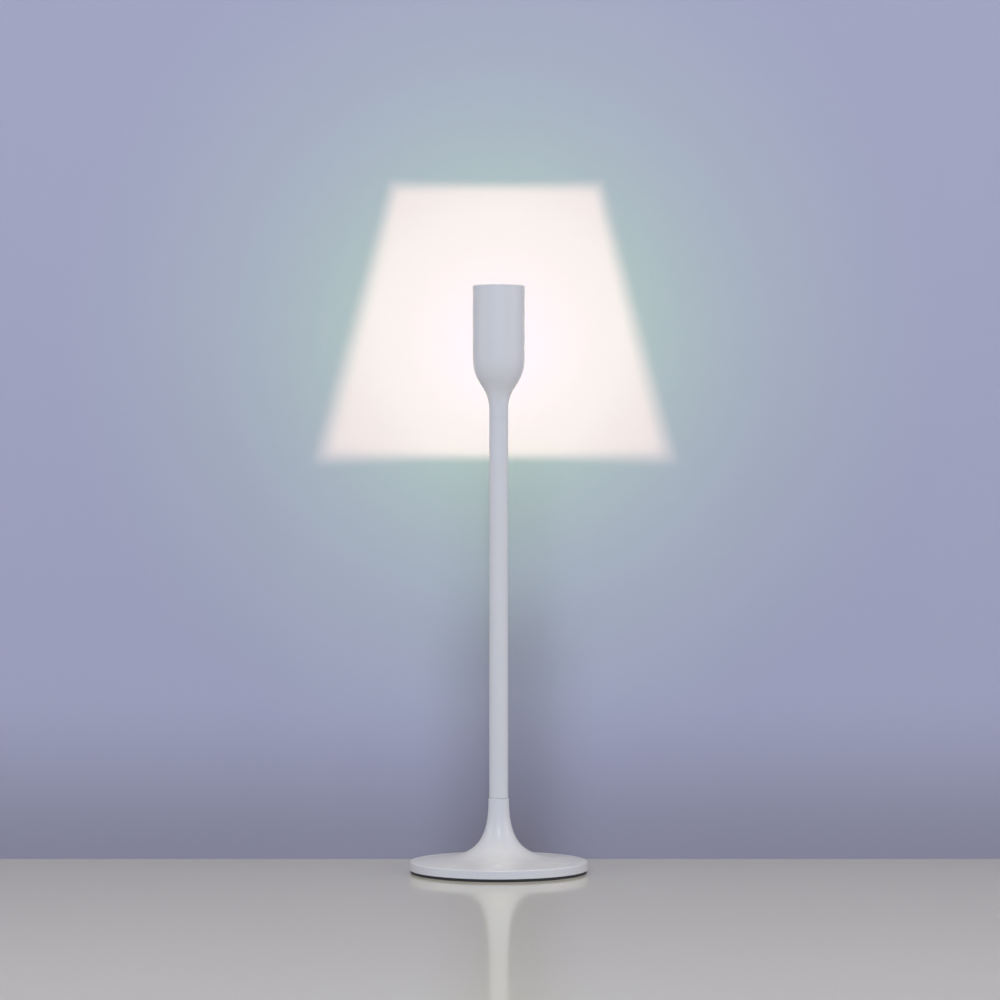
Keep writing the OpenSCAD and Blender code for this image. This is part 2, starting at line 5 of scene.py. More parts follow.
import bmesh
import bpy
from mathutils import Matrix, Vector

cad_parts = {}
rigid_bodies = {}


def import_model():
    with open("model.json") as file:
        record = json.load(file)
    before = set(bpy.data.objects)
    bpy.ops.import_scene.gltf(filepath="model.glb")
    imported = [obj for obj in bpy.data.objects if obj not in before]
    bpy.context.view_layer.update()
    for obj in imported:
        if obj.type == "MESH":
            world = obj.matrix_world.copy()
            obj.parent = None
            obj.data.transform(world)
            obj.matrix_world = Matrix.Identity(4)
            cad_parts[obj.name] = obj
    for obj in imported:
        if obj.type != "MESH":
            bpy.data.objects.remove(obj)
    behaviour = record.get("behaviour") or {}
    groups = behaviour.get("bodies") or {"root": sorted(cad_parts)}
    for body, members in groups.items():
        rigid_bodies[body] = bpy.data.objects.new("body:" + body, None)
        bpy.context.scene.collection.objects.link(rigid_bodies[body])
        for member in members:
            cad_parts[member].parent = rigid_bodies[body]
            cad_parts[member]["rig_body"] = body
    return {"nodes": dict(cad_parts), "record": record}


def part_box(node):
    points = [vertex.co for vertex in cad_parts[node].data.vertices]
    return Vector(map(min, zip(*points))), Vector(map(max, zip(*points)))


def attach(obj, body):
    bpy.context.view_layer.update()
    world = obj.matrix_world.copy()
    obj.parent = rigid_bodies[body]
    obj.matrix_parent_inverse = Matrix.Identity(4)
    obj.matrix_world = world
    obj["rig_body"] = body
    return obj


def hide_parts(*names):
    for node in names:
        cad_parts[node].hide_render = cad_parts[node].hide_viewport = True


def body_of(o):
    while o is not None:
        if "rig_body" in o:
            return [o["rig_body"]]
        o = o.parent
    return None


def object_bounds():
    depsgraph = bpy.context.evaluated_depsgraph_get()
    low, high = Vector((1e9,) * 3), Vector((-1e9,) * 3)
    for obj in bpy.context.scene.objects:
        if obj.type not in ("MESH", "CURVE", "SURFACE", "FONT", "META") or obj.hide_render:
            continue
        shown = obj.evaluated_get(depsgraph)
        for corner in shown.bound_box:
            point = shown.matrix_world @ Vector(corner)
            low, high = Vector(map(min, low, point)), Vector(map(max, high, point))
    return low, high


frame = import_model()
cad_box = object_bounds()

bl_info = {
    "name": "Table lamp with a thrown shade",
    "version": (1, 0, 0),
    "blender": (4, 5, 0),
    "location": "3D View > Sidebar > Lamp",
    "description": "Finishes, fine parts, light and stage for a lamp whose shade is light on the wall",
    "category": "Object",
}

MM = 0.001
STAND, HEAD = "stand", "head"
FACING_WALL = Matrix.Rotation(-pi / 2, 4, "X")
# Width of the camera's sensor in millimetres
SENSOR_WIDTH = 36.0
# Counts of what repeats on a part or along a curve
THREAD_ROWS = 6
LOCK_TEETH = 10
PAD_GROOVES = 3
GLUE_GROOVES = 3
WASHER_WAVES = 3
CHIP_LEGS = 4
VENT_CUTS = 3
COIL_STEPS = 28
DOME_STEPS = 16
WIRE_STEPS = 48
# Share of its length in which a wire in the head has come to its side
WIRE_RUN = 0.85
# Twist of the lock washer's teeth, as an angle
TOOTH_TWIST = radians(24)
# Sizes in millimetres: gap before a thread or wire, slanted edge and mouth of the ferrules, copper
# tracks of the driver's board, and the wires in the head
THREAD_GAP = 0.02
EDGE = 0.4
MOUTH = 0.5
TRACK_WIDTH = 0.55
TRACK_THICK = 0.035
WIRE_RADIUS = 0.6
# Radius and height of the outline's points on small turned things, in millimetres
TERMINAL_OUTLINE = ((0, -0.8), (1.45, -0.8), (1.5, -0.7), (1.5, -0.32), (1.32, -0.15), (0, -0.1))
SCREW_RING_OUTLINE = ((2.1, 0.0), (2.7, 0.0), (2.65, 0.04), (2.15, 0.04))
SOLDER_OUTLINE = ((0, 0), (1.3, 0), (1.12, 0.18), (0.85, 0.5), (0.5, 0.8), (0, 0.9))
# Copper tracks on the driver's board, from part to part
TRACKS = (
    ((-2.6, 9.2), (-2.6, 7.6), (-5.2, 5.0), (-6.6, 5.0)),
    ((2.6, 9.2), (2.6, 8.4), (1.0, 6.8), (0.6, 6.8)),
    ((-0.4, 4.6), (-1.6, 4.6), (-2.9, 3.3), (-3.4, 3.3)),
    ((0.8, 4.6), (1.6, 4.6), (2.0, 5.0), (2.9, 5.0)),
    ((0.6, 6.6), (1.8, 6.6), (2.3, 6.1), (2.9, 6.1)),
    ((4.4, 3.4), (4.4, 2.6), (5.2, 1.8), (5.2, 0.8)),
    ((7.4, 6.2), (8.1, 6.2), (8.1, 9.0), (7.6, 9.5)),
    ((-6.2, -1.6), (-6.2, -2.8), (-4.4, -4.0), (-4.4, -4.6)),
    ((-7.2, -4.6), (-7.2, -3.4), (-7.9, -2.7), (-7.9, 1.0)),
    ((-7.2, -6.6), (-7.2, -7.6), (-5.4, -9.4)),
    ((-4.4, -7.4), (-4.4, -8.0), (-2.6, -9.8)),
    ((6.2, -5.0), (6.2, -6.4), (7.0, -6.4)),
    ((4.6, -7.6), (4.6, -8.4), (3.2, -9.8)),
    ((-7.6, 7.8), (-7.6, 9.6), (-6.4, 10.8)),
    ((0.3, 1.4), (0.3, -1.2), (1.4, -2.3), (2.8, -2.3)),
    ((-1.4, 6.2), (-0.4, 6.2)),
)
# Each studio lamp's name, its settings, width in metres, share of the power, turn to the left and rise
# in degrees, and whether it is small enough to be seen as a highlight
LAMPS = (
    ("wide_lamp", "front", 4.2, 0.56, 2.0, 12.0, False),
    ("soft_lamp", "front", 2.4, 0.25, 5.0, 30.0, False),
    ("key_lamp", "front", 0.35, 0.19, -1.0, 32.0, True),
    ("right_lamp", "side", 2.7, 1.18, -80.0, 25.0, True),
    ("left_lamp", "side", 2.7, 0.82, 80.0, 25.0, True),
    ("top_lamp", "top", 2.4, 1.0, 0.0, 90.0, False),
)
# Height up to which the wall next to the table gets a painted shade, and the middle, reach and fading
# heights of the painted shadow of the stem on the wall behind the lamp, in metres
PAINTED_LOW_SHADE_TOP = 0.125
PAINTED_SHADOW_MIDDLE = 0.006
PAINTED_SHADOW_REACH = 0.075
PAINTED_SHADOW_FADE = (0.14, 0.22)
# How far a ray points straight ahead, up to 1: where the thrown light starts to turn from its edge's
# colour to its core's, where the spilled light is full, and the least value used
CORE_START = 0.55
SPILL_FULL = 0.70
LEAST_AHEAD = 0.2
# Power of that value by which the thrown light is evened out on the wall
SHADE_FALL = 0.6
# Shank and head radius, head height and length of each kind of screw, in millimetres
PLATE_SCREW = (1.5, 2.8, 1.5, 6.0)
DRIVER_SCREW = (1.0, 1.9, 1.3, 4.8)
BOARD_SCREW = (1.0, 1.9, 1.3, 6.0)
# Two corners of a slot in a terminal's screw in millimetres, and its turn to each side as an angle
TERMINAL_SLOT = ((-2.0, -0.2, -0.5), (2.0, 0.2, 0.5))
SLOT_TURN = 0.7
# Two corners of a small part's body and of its soldered ends, and where the ends are, in millimetres
SMALL_BODY = ((-0.55, -0.6, 0.0), (0.55, 0.6, 0.5))
SMALL_END = ((-0.25, -0.62, 0.0), (0.25, 0.62, 0.52))
SMALL_REACH = 0.78
# Middle of each small part on the driver's board, and its turn in quarters
SMALL_PARTS = (
    (-7.2, -4.6, 0), (-4.4, -4.6, 0), (-7.2, -6.6, 0), (-4.4, -6.6, 1), (0.2, 4.6, 0), (0.2, 6.6, 0),
    (-2.2, 6.2, 1), (0.3, 2.2, 1), (7.8, -6.4, 0), (4.6, -6.8, 1), (7.6, 9.6, 1), (-7.6, 7.0, 1),
)


# Settings

def number(name, description, default, low, high, **kind):
    return bpy.props.FloatProperty(
        name=name, description=description, default=default, min=low, max=high, **kind)


def length(name, description, default, low, high):
    return number(name, description, default, low, high, unit="LENGTH", precision=4)


def level(name, description, default, high):
    return number(name, description, default, 0.0, high, precision=3)


def power(name, description, default):
    return number(name, description, default, 0.0, 500.0, unit="POWER")


def colour(name, description, default):
    return bpy.props.FloatVectorProperty(
        name=name, description=description, default=default, size=3, min=0.0, max=1.0, subtype="COLOR")


class LampViewSettings(bpy.types.PropertyGroup):
    """Where the lamp is seen from"""
    distance: length("Distance", "From the lamp's axis to the camera", 2.321, 0.5, 6.0)
    height: length("Height", "Height of the level camera above the table", 0.2615, 0.0, 2.0)
    side: length("Side", "How far the camera stands to the right of the axis", 0.0009, -0.5, 0.5)
    lens: number("Lens", "Focal length on a 36 mm sensor", 118.9, 20.0, 300.0, unit="CAMERA")


class LampStageSettings(bpy.types.PropertyGroup):
    """Table, wall and the studio's light"""
    wall_distance: length("Wall distance", "From the lamp's axis to the wall", 0.085, 0.08, 0.11)
    stage_width: length("Stage width", "Width and depth of the table", 6.0, 1.0, 20.0)
    wall_height: length("Wall height", "Height of the wall", 2.4, 0.6, 6.0)
    table_colour: colour("Table", "Colour of the lacquered table", (0.64, 0.632, 0.578))
    wall_colour: colour("Wall", "Colour of the painted wall", (0.436, 0.450, 0.612))
    # The low wall's colour is a painted shade, darker towards the table
    wall_low_shade_colour: colour("Low wall", "Colour of the wall next to the table", (0.322, 0.320, 0.418))
    # The wall shade is a painted shadow of the stem, in a soft stripe behind the lamp
    wall_shade: colour("Wall shade", "What the dim stripe behind the lamp leaves of the light",
                       (0.82, 0.81, 0.785))
    sky_colour: colour("Backdrop", "Colour seen where there is no wall", (0.66, 0.68, 0.74))
    sky_level: level("Sky level", "Strength of the light from all round", 0.06, 4.0)
    front_power: power("Front power", "Power of the three lamps in front together", 148.0)
    front_tint: colour("Front tint", "Colour of the lamps in front", (0.75, 0.83, 1.0))
    side_power: power("Side power", "Power of the lamp on each side", 54.0)
    side_tint: colour("Side tint", "Colour of the lamps at the sides", (0.98, 0.88, 0.86))
    top_power: power("Top power", "Power of the lamp overhead", 99.0)
    top_tint: colour("Top tint", "Colour of the lamp overhead", (1.0, 0.84, 0.34))
    lamp_distance: length("Lamp distance", "From the table lamp to the studio's lamps", 4.5, 0.5, 8.0)


class LampGlowSettings(bpy.types.PropertyGroup):
    """The light that the lamp throws on the wall"""
    source_radius: length("Source radius", "Radius of the lit spot", 0.0007, 0.0001, 0.004)
    source_side: length("Source side", "Place of the spot right of the middle", 0.0003, -0.002, 0.002)
    core_colour: colour("Core light", "Colour of the thrown light straight ahead", (1.0, 0.596, 0.52))
    edge_colour: colour("Edge light", "Colour of the thrown light at its edge", (1.0, 0.61, 0.368))
    shade_level: level("Shade level", "Strength of the thrown light on the wall", 1.36, 20.0)
    inside_level: level("Inside level", "Strength of the light on what is inside the head", 0.5, 20.0)
    spill_colour: colour("Spill light", "Colour of the faint light round the shade", (0.50, 1.0, 0.10))
    spill_level: level("Spill level", "Strength of the faint light round the shade", 0.46, 4.0)
    spill_reach: length("Spill reach", "Where the faint light on the wall ends", 0.32, 0.05, 0.6)


class LampFittingSettings(bpy.types.PropertyGroup):
    """Threads and wire of the fine parts"""
    screw_pitch: length("Screw pitch", "Pitch of the screws in the foot", 0.0005, 0.0002, 0.001)
    small_pitch: length("Small pitch", "Pitch of the screws on the boards", 0.0004, 0.0002, 0.001)
    ferrule_pitch: length("Ferrule pitch", "Pitch of the thread in the foot", 0.001, 0.0005, 0.002)
    spindle_pitch: length("Spindle pitch", "Pitch of the thread in the head", 0.00075, 0.0003, 0.0015)
    winding_wire: length("Winding wire", "Diameter of the choke's wire", 0.00048, 0.0002, 0.001)


class LampFinishSettings(bpy.types.PropertyGroup):
    """Colours of the lamp's finishes"""
    coat: colour("Powder coat", "White coat on foot, stem and head", (0.705, 0.715, 0.755))
    iron: colour("Cast iron", "Ballast in the foot", (0.05, 0.05, 0.053))
    plate: colour("Coated plate", "Plate under the foot", (0.018, 0.018, 0.02))
    zinc: colour("Zinc", "Screws, nuts and washers", (0.62, 0.64, 0.66))
    rubber: colour("Rubber", "Ring under the foot and cord grommet", (0.004, 0.004, 0.0042))
    brass: colour("Brass", "Ferrules and the swivel's nut", (0.66, 0.44, 0.17))
    acetal: colour("Glide washer", "Washer in the seam under the head", (0.62, 0.63, 0.65))
    sheath: colour("Cable sheath", "Cable in the stem", (0.74, 0.74, 0.70))
    mask: colour("Solder mask", "Green board in the foot", (0.012, 0.10, 0.035))
    copper: colour("Copper wire", "Enamelled winding of the choke", (0.42, 0.11, 0.03))
    sleeve: colour("Capacitor sleeve", "Sleeve of the capacitor", (0.01, 0.014, 0.06))
    terminal: colour("Terminal", "Moulded terminal blocks", (0.015, 0.16, 0.06))
    nylon: colour("Nylon", "Spacers under the board", (0.62, 0.58, 0.46))
    anodised: colour("Anodised", "Heat sink behind the light", (0.02, 0.02, 0.022))
    phosphor: colour("Phosphor", "Lit face of the LED", (1.0, 0.72, 0.30))


# Shader maths

def sums(operation, swapped=False):
    def method(self, other):
        pair = (other, self) if swapped else (self, other)
        return self.shader.maths(operation, *pair)
    return method


class Value:
    """An output of a shader node, on which sums are written as in plain Python"""
    __add__ = __radd__ = sums("ADD")
    __mul__ = __rmul__ = sums("MULTIPLY")
    __sub__ = sums("SUBTRACT")
    __rsub__ = sums("SUBTRACT", swapped=True)
    __truediv__ = sums("DIVIDE")
    __rtruediv__ = sums("DIVIDE", swapped=True)
    __pow__ = sums("POWER")

    def __init__(self, shader, socket):
        self.shader = shader
        self.socket = socket

    def part(self, name):
        return Value(self.shader, self.socket.node.outputs[name])


class Shader:
    """The nodes of one material, light or world"""

    def __init__(self, owner):
        owner.use_nodes = True
        self.tree = owner.node_tree
        self.tree.nodes.clear()

    def node(self, kind, settings=None, sockets=None, output=0):
        made = self.tree.nodes.new(kind)
        for name, value in (settings or {}).items():
            setattr(made, name, value)
        for name, value in (sockets or {}).items():
            socket = made.inputs[name]
            if isinstance(value, Value):
                self.tree.links.new(value.socket, socket)
            elif socket.type == "RGBA" and len(value) == 3:
                socket.default_value = (*value, 1.0)
            else:
                socket.default_value = value
        return Value(self, made.outputs[output]) if made.outputs else made

    def maths(self, operation, first, second=0.0):
        return self.node("ShaderNodeMath", {"operation": operation}, {0: first, 1: second})

    def place(self, stretch=(1.0, 1.0, 1.0)):
        spot = self.node("ShaderNodeTexCoord", output="Object")
        return self.node("ShaderNodeVectorMath", {"operation": "MULTIPLY"}, {0: spot, 1: stretch})

    def noise(self, scale, detail=2.0, roughness=0.5, stretch=(1.0, 1.0, 1.0)):
        return self.node("ShaderNodeTexNoise", sockets={
            "Vector": self.place(stretch), "Scale": scale, "Detail": detail, "Roughness": roughness})

    def cells(self, scale):
        sockets = {"Vector": self.place(), "Scale": scale}
        return self.node("ShaderNodeTexVoronoi", sockets=sockets, output="Distance")

    def step(self, value, low, high):
        return self.node("ShaderNodeMapRange", {"interpolation_type": "SMOOTHSTEP"},
                         {"Value": value, "From Min": low, "From Max": high})

    def between(self, value, low, high):
        return self.node("ShaderNodeMapRange", sockets={
            "Value": value, "From Min": low, "From Max": high})

    def mix(self, factor, first, second, blend="MIX"):
        return self.node("ShaderNodeMix", {"data_type": "RGBA", "blend_type": blend},
                         {0: factor, 6: first, 7: second}, 2)

    def bump(self, height, depth):
        """Bump of a depth in millimetres"""
        return self.node("ShaderNodeBump", sockets={"Height": height, "Distance": depth * MM})


class Finish(Shader):
    """A material with one surface shader"""

    def __init__(self, name):
        self.material = bpy.data.materials.new(name)
        super().__init__(self.material)

    def surface(self, sockets):
        made = self.node("ShaderNodeBsdfPrincipled", sockets=sockets)
        self.node("ShaderNodeOutputMaterial", sockets={"Surface": made})
        return self.material


def tone(base, factor):
    return tuple(min(1.0, c * factor) for c in base)


# Finishes

def powder_coat(f, base):
    drift = f.noise(18.0, 3.0)
    peel = f.noise(850.0, 2.0)
    grain = f.noise(3800.0, 1.0)
    return f.surface({
        "Base Color": f.mix(drift, tone(base, 0.975), tone(base, 1.025)),
        "Roughness": 0.22 + 0.05 * drift + 0.05 * grain,
        "Specular IOR Level": 0.45,
        "Normal": f.bump(peel * 0.8 + grain * 0.2, 0.03),
    })


def cast_iron(f, base):
    sand = f.noise(700.0, 4.0, 0.6)
    pits = f.step(f.cells(260.0), 0.02, 0.25)
    stain = f.step(f.noise(60.0, 3.0), 0.5, 0.7)
    return f.surface({
        "Base Color": f.mix(stain, base, (0.075, 0.05, 0.038)),
        "Metallic": 0.55 - 0.4 * stain,
        "Roughness": 0.55 + 0.3 * sand,
        "Normal": f.bump(sand * 0.6 + pits * 0.4, 0.25),
    })


def coated_plate(f, base):
    speckle = f.noise(2400.0, 2.0)
    scuff = f.step(f.noise(1.0, 4.0, stretch=(14.0, 90.0, 14.0)), 0.62, 0.7)
    return f.surface({
        "Base Color": f.mix(scuff, base, tone(base, 2.2)),
        "Roughness": 0.42 + 0.2 * speckle + 0.1 * scuff,
        "Normal": f.bump(speckle, 0.03),
    })


def zinc_plate(f, base):
    cloud = f.noise(300.0, 2.0)
    grain = f.noise(5000.0, 2.0)
    return f.surface({
        "Base Color": f.mix(cloud, tone(base, 0.92), (base[0], base[1], base[2] * 1.08)),
        "Metallic": 1.0,
        "Roughness": 0.24 + 0.16 * cloud + 0.08 * grain,
        "Normal": f.bump(grain, 0.006),
    })


def rubber(f, base):
    grain = f.noise(2600.0, 3.0)
    dust = f.step(f.noise(120.0, 4.0), 0.52, 0.75)
    return f.surface({
        "Base Color": f.mix(dust * 0.5, base, tone(base, 3.0)),
        "Roughness": 0.7 + 0.2 * grain,
        "Specular IOR Level": 0.15,
        "Normal": f.bump(grain, 0.04),
    })


def turned_brass(f, base):
    rings = f.noise(1.0, 2.0, stretch=(60.0, 60.0, 9000.0))
    tarnish = f.noise(160.0, 3.0)
    return f.surface({
        "Base Color": f.mix(tarnish, tone(base, 0.8), tone(base, 1.05)),
        "Metallic": 1.0,
        "Roughness": 0.2 + 0.14 * rings + 0.12 * tarnish,
        "Normal": f.bump(rings, 0.01),
    })


def moulded(f, base, scale, roughness, depth, coat=0.0):
    grain = f.noise(scale, 2.0)
    drift = f.noise(90.0, 3.0)
    return f.surface({
        "Base Color": f.mix(drift, tone(base, 0.93), tone(base, 1.06)),
        "Roughness": roughness - 0.06 + 0.12 * grain,
        "Coat Weight": coat,
        "Normal": f.bump(grain, depth),
    })


def circuit_board(f, base):
    """Solder mask over a faint weave of glass cloth"""
    weave = f.noise(1.0, stretch=(5200.0, 900.0, 900.0)) * f.noise(1.0, stretch=(900.0, 5200.0, 900.0))
    holes = 1.0 - f.step(f.cells(330.0), 0.07, 0.09)
    lacquer = f.mix(weave, tone(base, 0.8), tone(base, 1.5))
    return f.surface({
        "Base Color": f.mix(holes, lacquer, (0.62, 0.60, 0.55)),
        "Metallic": holes * 0.9,
        "Roughness": 0.28 + 0.3 * weave,
        "Normal": f.bump(weave - holes, 0.03),
    })


def anodised(f, base):
    lines = f.noise(1.0, 2.0, stretch=(5200.0, 5200.0, 90.0))
    cloud = f.noise(110.0, 2.0)
    return f.surface({
        "Base Color": f.mix(cloud, tone(base, 0.8), tone(base, 1.5)),
        "Metallic": 0.75,
        "Roughness": 0.36 + 0.18 * lines,
        "Normal": f.bump(lines, 0.012),
    })


def lit_phosphor(f, base):
    grain = f.noise(2600.0, 3.0)
    return f.surface({
        "Base Color": f.mix(grain, tone(base, 0.85), base),
        "Roughness": 0.45 + 0.2 * grain,
        "Emission Color": f.mix(grain, (1.0, 0.82, 0.55), (1.0, 0.90, 0.70)),
        "Emission Strength": 1.4,
    })


def clear_plastic(f, tint, index, roughness):
    smear = f.noise(240.0, 3.0)
    return f.surface({
        "Base Color": f.mix(smear, tone(tint, 0.98), tint),
        "Roughness": roughness + roughness * smear,
        "IOR": index,
        "Transmission Weight": 1.0,
    })


def recipes(s):
    """How each finish is made. What is moulded has a colour, and its grain's scale, roughness and depth."""
    return {
        "white_coat": (powder_coat, s.coat),
        "cast_ballast": (cast_iron, s.iron),
        "plate_steel": (coated_plate, s.plate),
        "zinc_steel": (zinc_plate, s.zinc),
        "black_rubber": (rubber, s.rubber),
        "brass_turned": (turned_brass, s.brass),
        "glide_plastic": (moulded, s.acetal, 3000.0, 0.42, 0.01),
        "cable_pvc": (moulded, s.sheath, 1400.0, 0.36, 0.02),
        "circuit_green": (circuit_board, s.mask),
        "board_copper": (moulded, tone(s.mask, 2.2), 3000.0, 0.3, 0.01),
        "choke_wire": (moulded, s.copper, 1800.0, 0.28, 0.01, 0.5),
        "capacitor_sleeve": (moulded, s.sleeve, 900.0, 0.3, 0.01, 0.3),
        "chip_resin": (moulded, (0.016, 0.016, 0.017), 4200.0, 0.55, 0.02),
        "terminal_plastic": (moulded, s.terminal, 2800.0, 0.45, 0.02),
        "spacer_plastic": (moulded, s.nylon, 1200.0, 0.4, 0.02),
        "sink_anodised": (anodised, s.anodised),
        "thermal_grey": (moulded, (0.26, 0.27, 0.29), 1500.0, 0.75, 0.05),
        "board_white": (moulded, (0.70, 0.71, 0.70), 2400.0, 0.3, 0.01),
        "board_tracks": (moulded, (0.78, 0.79, 0.78), 2400.0, 0.3, 0.01),
        "solder": (zinc_plate, (0.66, 0.66, 0.65)),
        "ferrite": (moulded, (0.035, 0.034, 0.034), 1500.0, 0.6, 0.03),
        "led_ceramic": (moulded, (0.78, 0.77, 0.74), 3200.0, 0.5, 0.01),
        "led_phosphor": (lit_phosphor, s.phosphor),
        "led_lens": (clear_plastic, (1.0, 0.97, 0.88), 1.41, 0.03),
        "mask_black": (moulded, (0.008, 0.008, 0.008), 2600.0, 0.8, 0.03),
        "window_clear": (clear_plastic, (0.97, 0.985, 1.0), 1.58, 0.02),
        "wire_red": (moulded, (0.45, 0.006, 0.005), 1600.0, 0.3, 0.01),
        "wire_black": (moulded, (0.01, 0.01, 0.01), 1600.0, 0.3, 0.01),
    }


class LAMP_OT_finishes(bpy.types.Operator):
    """Give every part of the lamp the finish of its material slot"""
    bl_idname = "lamp.finishes"
    bl_label = "Finishes"

    def execute(self, context):
        made = {name: make(Finish(name), *values)
                for name, (make, *values) in recipes(context.scene.lamp_finishes).items()}
        for row in frame["record"]["subparts"]:
            for slot in frame["nodes"][row["node"]].material_slots:
                slot.material = made[row["material_slot"]]
        return {"FINISHED"}


# Stage

def linked(name, data):
    """A new object in the scene"""
    made = bpy.data.objects.new(name, data)
    bpy.context.scene.collection.objects.link(made)
    return made


def flat_sheet(name, corners, material):
    mesh = bpy.data.meshes.new(name)
    mesh.from_pydata(corners, [], [(0, 1, 2, 3)])
    mesh.materials.append(material)
    linked(name, mesh)


def one_sided(f, sockets):
    """A sheet that is seen from its front only, so the lamp can be looked at from behind and below"""
    front = f.node("ShaderNodeBsdfPrincipled", sockets=sockets)
    gone = f.node("ShaderNodeBsdfTransparent")
    behind = f.node("ShaderNodeNewGeometry", output="Backfacing")
    both = f.node("ShaderNodeMixShader", sockets={0: behind, 1: front, 2: gone})
    f.node("ShaderNodeOutputMaterial", sockets={"Surface": both})
    return f.material


def table_lacquer(f, base):
    cloud = f.noise(3.0, 2.0)
    return one_sided(f, {
        "Base Color": f.mix(cloud, tone(base, 0.985), tone(base, 1.015)),
        "Roughness": 0.09 + 0.03 * cloud,
    })


def wall_paint(f, base, painted_low_shade, shade):
    """Paint with a painted shade that darkens it next to the table, and a painted shadow of the stem in a
    soft stripe behind the lamp
    """
    roller = f.noise(160.0, 3.0)
    spot = f.node("ShaderNodeSeparateXYZ", sockets={0: f.place()})
    height = spot.part("Z")
    across = f.maths("ABSOLUTE", spot.part("X") - PAINTED_SHADOW_MIDDLE)
    # Painted shade: the wall's colour darkens towards the table
    low = 1.0 - f.step(height, 0.0, PAINTED_LOW_SHADE_TOP)
    # Painted shadow of the stem: a soft stripe behind the lamp that fades out higher up
    stripe = (1.0 - f.step(across, 0.0, PAINTED_SHADOW_REACH)) * (1.0 - f.step(height, *PAINTED_SHADOW_FADE))
    paint_with_low_shade = f.mix(low, base, painted_low_shade)
    return one_sided(f, {
        "Base Color": f.mix(stripe, paint_with_low_shade, f.mix(1.0, paint_with_low_shade, shade, "MULTIPLY")),
        "Roughness": 0.9,
        "Specular IOR Level": 0.2,
        "Normal": f.bump(roller, 0.04),
    })


class LAMP_OT_stage(bpy.types.Operator):
    """Make the table, the wall, the studio light and the camera"""
    bl_idname = "lamp.stage"
    bl_label = "Stage"

    def execute(self, context):
        s = context.scene.lamp_stage
        half, y, top = s.stage_width / 2, s.wall_distance, s.wall_height
        flat_sheet("table", [(-half, -half, 0), (half, -half, 0), (half, half, 0), (-half, half, 0)],
                   table_lacquer(Finish("table_lacquer"), s.table_colour))
        flat_sheet("wall", [(-half, y, 0), (half, y, 0), (half, y, top), (-half, y, top)],
                   wall_paint(Finish("wall_paint"), s.wall_colour, s.wall_low_shade_colour, s.wall_shade))
        self.sky(context.scene, s)
        for row in LAMPS:
            self.lamp(s, *row)
        self.camera(context.scene, context.scene.lamp_view)
        context.scene.view_settings.view_transform = "Standard"
        return {"FINISHED"}

    def sky(self, scene, s):
        scene.world = bpy.data.worlds.new("sky")
        w = Shader(scene.world)
        seen = w.node("ShaderNodeLightPath", output="Is Camera Ray")
        white = (1.0, 1.0, 1.0)
        light = w.node("ShaderNodeBackground", sockets={"Color": white, "Strength": s.sky_level})
        backdrop = w.node("ShaderNodeBackground", sockets={"Color": tuple(s.sky_colour)})
        both = w.node("ShaderNodeMixShader", sockets={0: seen, 1: light, 2: backdrop})
        w.node("ShaderNodeOutputWorld", sockets={"Surface": both})

    def lamp(self, s, name, kind, width, part, turn, rise, highlight):
        """A square lamp, turned from the front to the left and raised"""
        data = bpy.data.lights.new(name, "AREA")
        data.size = width
        data.energy = getattr(s, kind + "_power") * part
        data.color = getattr(s, kind + "_tint")
        lamp = linked(name, data)
        lamp.visible_glossy = highlight
        lamp.visible_transmission = False
        turn, rise = radians(turn), radians(rise)
        away = Vector((-sin(turn) * cos(rise), -cos(turn) * cos(rise), sin(rise)))
        lamp.location = Vector((0.0, 0.0, cad_box[1].z / 2)) + away * s.lamp_distance
        lamp.rotation_euler = away.to_track_quat("Z", "Y").to_euler()

    def camera(self, scene, s):
        data = bpy.data.cameras.new("camera")
        data.sensor_width = SENSOR_WIDTH
        data.lens = s.lens
        scene.camera = linked("camera", data)
        scene.camera.location = (s.side, -s.distance, s.height)
        scene.camera.rotation_euler = (pi / 2, 0.0, 0.0)


# Mesh making, in millimetres

def rotate(turn, axis="Z"):
    return Matrix.Rotation(turn, 4, axis)


def shift(x, y, z):
    return Matrix.Translation((x, y, z))


def hexagon(inside):
    """Radius at each angle of a hexagon that measures twice `inside` across its flats"""
    return lambda turn: inside / cos(turn % (pi / 3) - pi / 6)


def at(value, turn):
    return value(turn) if callable(value) else value


def threaded(crest, depth, low, high, pitch):
    """Outline points of an outer thread that runs out at both ends"""
    rows = max(2, round(THREAD_ROWS * (high - low) / pitch))
    points = []
    for i in range(rows + 1):
        z = low + (high - low) * i / rows
        cut = depth * min(1.0, (z - low) / pitch, (high - z) / pitch)

        def radius(turn, z=z, cut=cut):
            wave = (z / pitch - turn / tau) % 1.0
            return crest - cut * abs(2.0 * wave - 1.0)
        points.append((radius, z))
    return points


